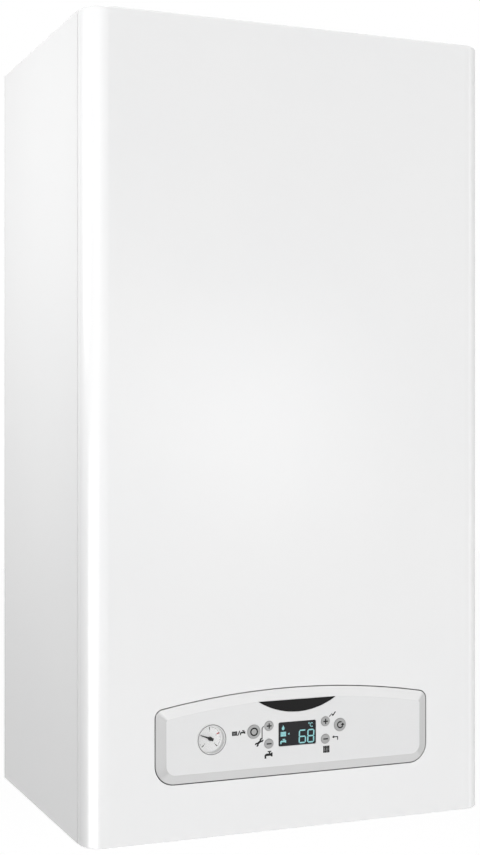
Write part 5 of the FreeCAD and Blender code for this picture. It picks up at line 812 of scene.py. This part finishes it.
@dataclass
class Display:
    """Lit figures and signs in the display window.

    Each segment runs between two of a digit's six corners, given by column and row from the lower left.
    """

    SEGMENTS = {"a": ((0, 2), (1, 2)), "b": ((1, 1), (1, 2)), "c": ((1, 0), (1, 1)), "d": ((0, 0), (1, 0)),
                "e": ((0, 0), (0, 1)), "f": ((0, 1), (0, 2)), "g": ((0, 1), (1, 1))}

    front: float = 304.8
    low: float = 78.7
    high: float = 91.2
    stroke: float = 1.2
    gap: float = 0.12
    slant: float = 0.03
    digits: tuple[tuple[float, float, str], ...] = ((1.3, 8.7, "acdefg"), (9.9, 17.0, "abcdefg"))
    unit: Arcs = (((11.9, 96.6), 0.6, 0.4, 0.0, FULL_TURN), ((14.7, 95.0), 1.65, 0.6, 50.0, 260.0))
    flame: Mark = ((-14.2, 94.4), 4.6, 4.6)
    radiator: Mark = ((-14.0, 88.4), 5.4, 4.2)
    tap: Mark = ((-14.0, 81.7), 5.4, 4.4)
    arrow: Profile = ((-9.6, 88.3), (-7.9, 87.3), (-7.9, 89.3))

    def segment(self, stencil: Stencil, start: Spot, end: Spot) -> None:
        """One segment with pointed ends.

        Args:
            stencil: The drawing.
            start: Corner of the digit where the segment starts.
            end: Corner where it ends.
        """
        run = (Vector(end) - Vector(start)).normalized()
        side = Vector((-run.y, run.x)) * self.stroke / 2
        near = Vector(start) + run * self.gap
        far = Vector(end) - run * self.gap
        inset = run * self.stroke / 2
        outline = [near, near + inset - side, far - inset - side, far, far - inset + side,
                   near + inset + side]
        stencil.polygon([(p.x + self.slant * (p.y - self.low), p.y) for p in outline])

    def digit(self, stencil: Stencil, left: float, right: float, lit: str) -> None:
        """Seven-segment digit.

        Args:
            stencil: The drawing.
            left: Left side of the digit.
            right: Right side of the digit.
            lit: Letters of the lit segments, from a at the top round to g in the middle.
        """
        inset = self.stroke / 2
        columns = (left + inset, right - inset)
        rows = (self.low + inset, (self.low + self.high) / 2, self.high - inset)
        for letter in lit:
            self.segment(stencil, *[(columns[i], rows[j]) for i, j in self.SEGMENTS[letter]])

    def build(self) -> None:
        """Draw what the display shows."""
        lit = Stencil(self.front)
        for left, right, segments in self.digits:
            self.digit(lit, left, right, segments)
        for arc in self.unit:
            lit.arc(*arc)
        Sign.FLAME.draw(lit, *self.flame)
        Sign.RIBS_6.draw(lit, *self.radiator)
        Sign.TAP.draw(lit, *self.tap)
        lit.polygon(self.arrow)
        lit.raised("display_figures", THICK_PRINT, LIT)


@dataclass
class ButtonCap:
    """Sign on the cap of one button."""

    name: str
    across: float
    height: float
    radius: float
    sign: Sign
    front: float = 305.6

    def build(self) -> None:
        """Print the sign."""
        ink = Stencil(self.front)
        self.sign.draw(ink, (self.across, self.height), self.radius, self.radius)
        ink.raised(self.name + "_sign", THIN_PRINT, INK, self.name)


@dataclass
class ControlPanel:
    """Signs printed on the fascia, the dial, the display and the button caps."""

    face: float = FASCIA_FRONT
    mode_radiator: Mark = ((-62.2, 92.6), 5.2, 4.0)
    mode_slash: tuple[Spot, Spot, float] = ((-59.1, 90.5), (-57.1, 94.8), 0.95)
    mode_tap: Mark = ((-54.2, 92.9), 4.8, 4.2)
    water_tap: Mark = ((-28.6, 70.8), 7.4, 6.7)
    wrench: Mark = ((-38.1, 82.8), 6.2, 6.2)
    bracket: Line = (((-33.9, 96.9), (-35.2, 95.4), (-35.2, 85.7)), 0.9)
    heating_radiator: Mark = ((29.4, 71.2), 6.6, 6.4)
    dash: Line = (((32.6, 101.3), (33.8, 102.6)), 0.8)
    tick: Line = (((34.9, 103.4), (36.1, 102.0), (38.5, 105.0)), 1.1)
    back: Line = (((41.0, 79.4), (41.0, 82.0), (37.2, 82.0)), 0.95)
    back_head: Profile = ((35.2, 82.0), (37.4, 80.5), (37.4, 83.5))
    caps: tuple[ButtonCap, ...] = (
        ButtonCap("power_button", -43.3, 92.9, 6.2, Sign.RING),
        ButtonCap("reset_button", 43.4, 92.9, 5.9, Sign.TURN),
        ButtonCap("water_plus_button", -28.45, 97.1, 4.3, Sign.PLUS),
        ButtonCap("water_minus_button", -28.45, 80.9, 4.3, Sign.MINUS),
        ButtonCap("heating_plus_button", 28.45, 97.1, 4.3, Sign.PLUS),
        ButtonCap("heating_minus_button", 28.45, 80.9, 4.3, Sign.MINUS),
    )

    def print_fascia(self) -> None:
        """Print the signs beside the buttons."""
        ink = Stencil(self.face)
        Sign.RIBS_4.draw(ink, *self.mode_radiator)
        ink.bar(*self.mode_slash)
        Sign.TAP.draw(ink, *self.mode_tap)
        Sign.TAP.draw(ink, *self.water_tap)
        Sign.WRENCH.draw(ink, *self.wrench)
        ink.line(*self.bracket)
        Sign.RIBS_4.draw(ink, *self.heating_radiator)
        for line in (self.dash, self.tick, self.back):
            ink.line(*line)
        ink.polygon(self.back_head)
        ink.raised("fascia_signs", THIN_PRINT, INK)

    def build(self) -> None:
        """Build every sign of the panel."""
        self.print_fascia()
        Manometer().build()
        Display().build()
        for cap in self.caps:
            cap.build()


# Fasteners and fittings


@dataclass
class ChamberTrim:
    """Fasteners of the sealed chamber and what stands in it."""

    lid_front: float = 251.2
    lid_sides: Grid = ((-174.0, 174.0), (289.0, 391.0, 497.5, 604.0, 706.0))
    lid_ends: Grid = ((-87.0, 0.0, 87.0), (289.0, 706.0))
    lid_flats: float = 8.0
    sight_height: float = 366.0
    sight_front: float = 258.0
    sight_pitch: float = 20.5
    sight_flats: float = 4.0
    sight_thick: float = 2.0
    sight_ring: Profile = ((12.6, 0.0), (25.5, 0.0), (25.5, 1.4), (24.6, 2.0), (14.0, 2.0), (12.6, 1.0))
    fan: Point = (-45.0, 182.0, 620.0)
    fan_rim: float = 62.0
    fan_turns: Row = (15.0, 75.0, 135.0, 195.0, 255.0, 315.0)
    fan_flats: float = 5.0
    motor_corner: float = 32.0
    motor_plate: float = 2.0
    motor_flats: float = 6.0
    motor_front: float = 230.0
    motor_cap: Profile = ((0.0, 0.0), (27.0, 0.0), (27.0, 1.6), (25.5, 2.6), (21.0, 2.6), (19.5, 1.4),
                          (10.5, 1.4), (9.5, 4.2), (7.5, 4.6), (6.5, 3.6), (0.0, 3.6))
    ribs: int = 12
    rib_pitch: float = 31.0
    rib: Profile = ((0.0, 0.0), (1.6, 0.0), (1.6, 42.0), (1.0, 43.0), (0.0, 43.0))
    motor_plug: tuple[Point, Point] = ((-14.0, 4.0, -37.0), (14.0, 22.0, -27.0))
    plug_edge: float = 1.2
    firebox_front: float = 230.0
    firebox_sides: Grid = ((-122.0, 122.0), (352.0, 396.0, 438.0))
    firebox_head: Grid = ((-61.0, 0.0, 61.0), (438.0,))
    firebox_flats: float = 6.0
    head_strip: float = 1.5
    strip_side: float = 113.0
    strips: tuple[Row, ...] = ((432.0, 445.0, 1.5, 0.6), (360.0, 366.0, 2.4, 1.1), (404.0, 410.0, 2.4, 1.1))
    floor_height: float = 287.5
    floor_pipes: tuple[Point, ...] = ((-155.0, 207.6, 9.0), (155.0, 102.4, 9.0), (0.0, 230.0, 7.0))

    def lid(self) -> None:
        """Screws round the lid and the clamping ring of the sight glass."""
        screws = Lathe()
        for grid in (self.lid_sides, self.lid_ends):
            screws.screws(product(*grid), self.lid_front, self.lid_flats)
        round_glass = circle((0.0, self.sight_height), self.sight_pitch, THIRDS)
        screws.screws(round_glass, self.sight_front + self.sight_thick, self.sight_flats)
        screws.piece("lid_screws", PLATED, "chamber_lid")
        ring = Lathe()
        foot = (0.0, self.sight_front, self.sight_height)
        ring.turn(self.sight_ring, foot, Axis.FORWARD, Sides.LARGE, True)
        ring.piece("sight_ring", ALUMINIUM, "chamber_lid")

    def fan_trim(self) -> None:
        """Screws of the fan casing and its motor, the motor's end cap, ribs and plug."""
        x, depth, z = self.fan
        plate = depth + self.motor_plate
        screws = Lathe()
        screws.screws(circle((x, z), self.fan_rim, self.fan_turns), depth, self.fan_flats)
        corners = product((x - self.motor_corner, x + self.motor_corner),
                          (z - self.motor_corner, z + self.motor_corner))
        screws.screws(corners, plate, self.motor_flats)
        screws.piece("fan_screws", PLATED)
        cap = Lathe()
        cap.turn(self.motor_cap, (x, self.motor_front, z), Axis.FORWARD, Sides.LARGE)
        turns = [FULL_TURN / self.ribs * i for i in range(self.ribs)]
        for across, height in circle((x, z), self.rib_pitch, turns):
            cap.turn(self.rib, (across, plate, height), Axis.FORWARD, Sides.PEG)
        low, high = ([a + b for a, b in zip(self.fan, corner)] for corner in self.motor_plug)
        cap.box(low, high, self.plug_edge)
        cap.piece("fan_motor_trim", MOTOR_BLACK)

    def burner(self) -> None:
        """Screws and folded strips on the front of the firebox, and rubber rings round the pipes."""
        screws = Lathe()
        front = self.firebox_front
        screws.screws(product(*self.firebox_sides), front, self.firebox_flats)
        screws.screws(product(*self.firebox_head), front + self.head_strip, self.firebox_flats)
        screws.piece("firebox_screws", PLATED)
        strip = Lathe()
        for low, high, thickness, edge in self.strips:
            strip.box((-self.strip_side, front, low), (self.strip_side, front + thickness, high), edge)
        strip.piece("firebox_strips", ALUMINISED)
        rings = Lathe()
        for across, depth, bore in self.floor_pipes:
            rings.grommet((across, depth, self.floor_height), bore)
        rings.piece("pipe_grommets", RUBBER, slot="silicone")

    def build(self) -> None:
        """Build all the trim of the chamber."""
        self.lid()
        self.fan_trim()
        self.burner()


@dataclass
class WaterTrim:
    """Union nuts, pump and valve fittings below the chamber, and the back of the control box."""

    unions: tuple[tuple[Point, Axis, float, float], ...] = (
        ((-130.0, 90.0, 106.0), Axis.UP, 9.0, 15.0),
        ((128.0, 90.0, 212.0), Axis.UP, 9.0, 13.0),
        ((0.0, 168.0, 136.0), Axis.UP, 9.0, 15.5),
        ((0.0, 168.0, 240.3), Axis.UP, 7.0, 10.0),
        ((60.0, 28.0, 270.0), Axis.UP, 6.0, 15.5),
        ((60.0, 47.0, 66.0), Axis.FORWARD, 6.0, 12.5),
    )
    pump: Point = (128.0, 117.0, 156.0)
    pump_pitch: float = 43.0
    pump_flats: float = 4.5
    pump_front: float = 189.0
    vent_plug: Profile = ((0.0, 0.0), (13.0, 0.0), (13.0, 1.0), (12.0, 2.0), (8.5, 2.0), (7.5, 4.5),
                          (6.0, 5.0), (5.0, 4.0), (0.0, 4.0))
    valve_front: float = 196.0
    valve_screws: Grid = ((-34.0, 34.0), (166.0, 226.0))
    valve_flats: float = 5.0
    test_points: Profile = ((-11.0, 170.0), (11.0, 170.0))
    test_point: Profile = ((0.0, 0.0), (4.2, 0.0), (4.2, 2.5), (2.6, 3.2), (2.6, 8.0), (1.8, 9.0),
                           (0.0, 9.0))
    regulator_foot: Point = (-40.0, 168.0, 196.0)
    regulator: Profile = ((0.0, 0.0), (11.0, 0.0), (11.0, 6.0), (9.5, 7.5), (8.0, 7.5), (7.0, 5.5),
                          (0.0, 5.5))
    valve_plug: Block = ((-13.0, 196.0, 216.5), (13.0, 210.0, 229.0), 1.2)
    left_plug: Block = ((-32.0, 202.0, 214.5), (-14.0, 228.0, 219.0), 1.0)
    right_plug: Block = ((14.0, 202.0, 214.5), (32.0, 228.0, 219.0), 1.0)
    diverter_front: float = 184.0
    diverter_screws: Grid = ((-112.5, -77.5), (48.5, 83.5))
    diverter_flats: float = 4.0
    box_back: float = 205.5
    box_screws: Grid = ((-166.0, -60.0, 60.0, 166.0), (48.0, 154.0))
    box_flats: float = 4.5
    gland_across: Row = (-44.0, 0.0, 44.0)
    gland_height: float = 58.0
    gland: Profile = ((0.0, 0.0), (9.0, 0.0), (9.0, 3.5), (7.6, 4.0), (7.0, 8.5), (5.4, 9.6), (4.4, 9.0),
                      (0.0, 9.0))

    def nuts(self) -> None:
        """Union nuts where pipes meet the blocks, the pump, the gas valve and the vessel."""
        nuts = Lathe()
        for union in self.unions:
            nuts.nut(*union)
        nuts.piece("union_nuts", BRASS)

    def pump_trim(self) -> None:
        """Flange screws of the pump and the vent plug on its motor."""
        x, flange, z = self.pump
        screws = Lathe()
        screws.screws(circle((x, z), self.pump_pitch, CORNERS), flange, self.pump_flats)
        screws.piece("pump_screws", PLATED)
        plug = Lathe()
        plug.turn(self.vent_plug, (x, self.pump_front, z), Axis.FORWARD)
        plug.piece("pump_vent_plug", BRASS)

    def gas_trim(self) -> None:
        """Screws, regulator cap, test points and plugs of the gas valve."""
        screws = Lathe()
        screws.screws(product(*self.valve_screws), self.valve_front, self.valve_flats)
        for across, height in self.test_points:
            screws.turn(self.test_point, (across, self.valve_front, height), Axis.FORWARD, Sides.SMALL)
        screws.turn(self.regulator, self.regulator_foot, Axis.LEFT)
        screws.piece("gas_valve_screws", PLATED)
        plug = Lathe()
        for block in (self.valve_plug, self.left_plug, self.right_plug):
            plug.box(*block)
        plug.piece("gas_valve_plug", BLACK_PLASTIC)

    def control_trim(self) -> None:
        """Screws of the diverter motor, and screws and blank glands on the back of the control box."""
        screws = Lathe()
        screws.screws(product(*self.diverter_screws), self.diverter_front, self.diverter_flats)
        screws.piece("diverter_screws", PLATED)
        back = Lathe()
        back.screws(product(*self.box_screws), self.box_back, self.box_flats, Axis.BACKWARD)
        back.piece("control_box_screws", PLATED, "control_panel")
        glands = Lathe()
        for across in self.gland_across:
            foot = (across, self.box_back, self.gland_height)
            glands.turn(self.gland, foot, Axis.BACKWARD, Sides.SMALL)
        glands.piece("cable_glands", BLACK_PLASTIC, "control_panel")

    def build(self) -> None:
        """Build all the fittings below the chamber."""
        self.nuts()
        self.pump_trim()
        self.gas_trim()
        self.control_trim()


@dataclass
class TopTrim:
    """What is fixed on the top panel."""

    flue_depth: float = 155.0
    flange_top: float = 740.0
    flange_pitch: float = 58.5
    flats: float = 5.5
    panel_top: float = 738.0
    blank_across: float = 132.0
    blank_pitch: float = 36.0
    blank_rim: float = 1.2
    blank: Profile = ((0.0, 3.4), (27.0, 3.4), (28.5, 2.8), (29.5, 1.6), (31.0, 1.2), (42.5, 1.2),
                      (43.0, 0.8), (43.0, 0.0), (0.0, 0.0))

    def build(self) -> None:
        """Screws of the flue flange, and the blanked second air inlet with its screws."""
        screws = Lathe()
        for spot in circle((0.0, self.flue_depth), self.flange_pitch, CORNERS):
            screws.screw((*spot, self.flange_top), Axis.UP, self.flats)
        centre = (self.blank_across, self.flue_depth)
        for spot in circle(centre, self.blank_pitch, THIRDS):
            screws.screw((*spot, self.panel_top + self.blank_rim), Axis.UP, self.flats)
        screws.piece("top_screws", PLATED)
        blank = Lathe()
        blank.turn(self.blank, (*centre, self.panel_top), Axis.UP, Sides.BROAD)
        blank.piece("air_inlet_blank", ZINC)


# CAD nodes


NODE_FINISHES: dict[Finish, tuple[str, ...]] = {
    ENAMEL: ("front_cover", "left_side_panel", "right_side_panel", "top_panel"),
    ZINC: ("back_frame", "bottom_plate", "hinge_brackets", "chamber_box", "chamber_lid", "burner_tray"),
    ALUMINISED: ("firebox", "flue_hood", "fan_housing"),
    STAINLESS: ("plate_exchanger", "burner_bars"),
    PLATED: ("cover_screws", "gas_manifold"),
    ALUMINIUM: ("gas_valve", "fan_wheel", "flue_socket", "flue_collar"),
    COPPER: ("exchanger_core", "exchanger_tubes", "heating_pipes"),
    BRASS: ("flow_block", "return_block", "relief_valve", "air_vent"),
    GAS_YELLOW: ("gas_pipes",),
    IRON: ("pump_volute",),
    MOTOR_BLACK: ("pump_motor", "fan_motor"),
    VESSEL_RED: ("expansion_vessel",),
    FASCIA: ("control_fascia",),
    CAP_PLASTIC: ("power_button", "reset_button", "water_plus_button", "water_minus_button",
                  "heating_plus_button", "heating_minus_button"),
    BOX_PLASTIC: ("control_box", "control_box_cover", "diverter_motor", "pressure_switch"),
    BLACK_PLASTIC: ("fill_knob", "gas_coils", "pump_wheel"),
    NEEDLE_BLACK: ("gauge_needle",),
    RED_PLASTIC: ("relief_knob",),
    GLOSS_BLACK: ("badge_plate",),
    WINDOW_DARK: ("display_window",),
    GAUGE_PLASTIC: ("gauge_case",),
    CLEAR: ("gauge_glass", "sight_glass"),
    BOARD_GREEN: ("circuit_boards",),
    CERAMIC: ("electrodes",),
    FIBRE: ("insulation_boards",),
    SEAL: ("cover_seal", "lid_gasket"),
    SILICONE: ("sensing_hoses",),
}


def dress_nodes() -> None:
    """Give every CAD node its finish."""
    for finish, names in NODE_FINISHES.items():
        for name in names:
            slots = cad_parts[name].data.materials
            slots.clear()
            slots.append(finish.material())
            LOG.info("%s: %s", name, finish.name)


# Studio


@dataclass(frozen=True)
class Softbox:
    """Rectangular lamp that faces a point of the boiler, with places and sizes in metres."""

    name: str
    spot: Point
    target: Point
    size: Spot
    power: float
    diffuse: bool = True
    glossy: bool = True

    def build(self) -> None:
        """Hang the lamp."""
        data = bpy.data.lights.new(self.name, "AREA")
        data.shape = "RECTANGLE"
        data.size, data.size_y = self.size
        data.energy = self.power
        lamp = bpy.data.objects.new(self.name, data)
        aim = Vector(self.target) - Vector(self.spot)
        lamp.location = self.spot
        lamp.rotation_euler = aim.to_track_quat("-Z", "Y").to_euler()
        lamp.visible_diffuse = self.diffuse
        lamp.visible_glossy = self.glossy
        bpy.context.scene.collection.objects.link(lamp)


LAMPS = (
    Softbox("side_close", (-0.85, -0.17, -0.02), (-0.2, -0.17, -0.02), (0.35, 0.35), 2.92),
    Softbox("corner_wide", (-1.6, -2.2, -0.3), (-0.19, -0.29, -0.35), (1.2, 2.4), 4.3),
    Softbox("corner_gloss", (-1.32, -1.12, -0.35), (-0.19, -0.29, -0.35), (0.8, 2.6), 4.0, diffuse=False),
    Softbox("corner_gloss_low", (-1.43, -0.95, -0.85), (-0.19, -0.29, -0.6), (1.25, 0.9), 20.0,
            diffuse=False),
    Softbox("front_left", (-1.5, -4.35, 0.45), (0.0, -0.3, -0.3), (3.8, 3.8), 83.0),
    Softbox("front_fill", (0.5, -4.6, -0.2), (0.0, -0.3, -0.2), (1.3, 1.3), 38.0, glossy=False),
    Softbox("front_glow", (0.92, -2.61, -0.30), (-0.045, -0.301, -0.315), (0.45, 0.45), 2.3),
    Softbox("right_strip", (1.7, -0.9, -0.3), (0.2, -0.25, -0.35), (0.4, 2.0), 5.0),
    Softbox("top_soft", (0.0, -0.15, 1.55), (0.0, -0.15, 0.05), (0.35, 0.25), 12.0),
    Softbox("low_soft", (0.0, -0.15, -1.6), (0.0, -0.15, -0.7), (0.3, 0.2), 3.0),
)


@dataclass
class Studio:
    """Camera, lamps, pale floor and white surround, with places and sizes in metres."""

    WHITE = (1.0, 1.0, 1.0, 1.0)

    camera_spot: Point = (-0.5738, -1.5610, -0.3214)
    camera_turn: float = -22.37
    lens: float = 63.35
    sensor: float = 36.0
    view_end: float = 100.0
    floor_height: float = -1.9
    floor_size: float = 30.0
    floor_colour: Colour = (0.85, 0.85, 0.85)
    floor_rough: float = 0.9
    floor_glow: float = 0.75
    ambient: float = 0.2

    def camera(self) -> None:
        """Put the camera at the photograph's viewpoint."""
        data = bpy.data.cameras.new("camera")
        data.lens = self.lens
        data.sensor_width = self.sensor
        data.clip_end = self.view_end
        holder = bpy.data.objects.new("camera", data)
        holder.location = self.camera_spot
        holder.rotation_euler = (math.pi / 2, 0.0, math.radians(self.camera_turn))
        bpy.context.scene.collection.objects.link(holder)
        bpy.context.scene.camera = holder

    def choose(self, tree: bpy.types.NodeTree, plain: Node, seen: Node,
               target: bpy.types.NodeSocket) -> None:
        """Use one shader for light, and another for what is seen directly, in gloss or through glass.

        Args:
            tree: Node tree of the world or a material.
            plain: Shader that lights the boiler.
            seen: Shader that shows.
            target: Socket that takes the result.
        """
        path = tree.nodes.new("ShaderNodeLightPath")
        total = path.outputs["Is Camera Ray"]
        for name in ("Is Glossy Ray", "Is Transmission Ray"):
            either = tree.nodes.new("ShaderNodeMath")
            either.operation = "MAXIMUM"
            tree.links.new(total, either.inputs[0])
            tree.links.new(path.outputs[name], either.inputs[1])
            total = either.outputs[0]
        mix = tree.nodes.new("ShaderNodeMixShader")
        for number, output in enumerate((total, plain.outputs[0], seen.outputs[0])):
            tree.links.new(output, mix.inputs[number])
        tree.links.new(mix.outputs[0], target)

    def surround(self) -> None:
        """White surround that lights the boiler at a plain level."""
        world = bpy.data.worlds.new("surround")
        world.use_nodes = True
        bpy.context.scene.world = world
        tree = world.node_tree
        light = tree.nodes["Background"]
        light.inputs["Color"].default_value = self.WHITE
        light.inputs["Strength"].default_value = self.ambient
        white = tree.nodes.new("ShaderNodeBackground")
        white.inputs["Color"].default_value = self.WHITE
        self.choose(tree, light, white, tree.nodes["World Output"].inputs["Surface"])

    def floor_material(self) -> bpy.types.Material:
        """Pale material that looks nearly white and keeps a shadow.

        Returns:
            The material.
        """
        bench = Bench("pale_floor")
        bench.shader.inputs["Base Color"].default_value = (*self.floor_colour, 1.0)
        bench.shader.inputs["Roughness"].default_value = self.floor_rough
        glow = bench.add("Emission", {"Strength": self.floor_glow})
        both = bench.join(bench.shader, 0, bench.add("AddShader"), 0)
        bench.join(glow, 0, both, 1)
        tree = bench.material.node_tree
        self.choose(tree, bench.shader, both, tree.nodes["Material Output"].inputs["Surface"])
        return bench.material

    def floor(self) -> None:
        """Pale floor well below the boiler."""
        bpy.ops.mesh.primitive_plane_add(size=self.floor_size, location=(0.0, 0.0, self.floor_height))
        floor = bpy.context.object
        floor.name = "floor"
        floor.data.materials.append(self.floor_material())

    def build(self) -> None:
        """Set up the whole studio."""
        bpy.context.scene.view_settings.view_transform = "Standard"
        self.camera()
        self.surround()
        self.floor()
        for lamp in LAMPS:
            lamp.build()


def main() -> None:
    """Build the studio, dress the CAD nodes and add the signs, the fasteners and the fittings."""
    logging.basicConfig(level=logging.INFO, format="%(name)s %(message)s")
    Studio().build()
    dress_nodes()
    ControlPanel().build()
    ChamberTrim().build()
    WaterTrim().build()
    TopTrim().build()


if __name__ == "__main__":
    main()
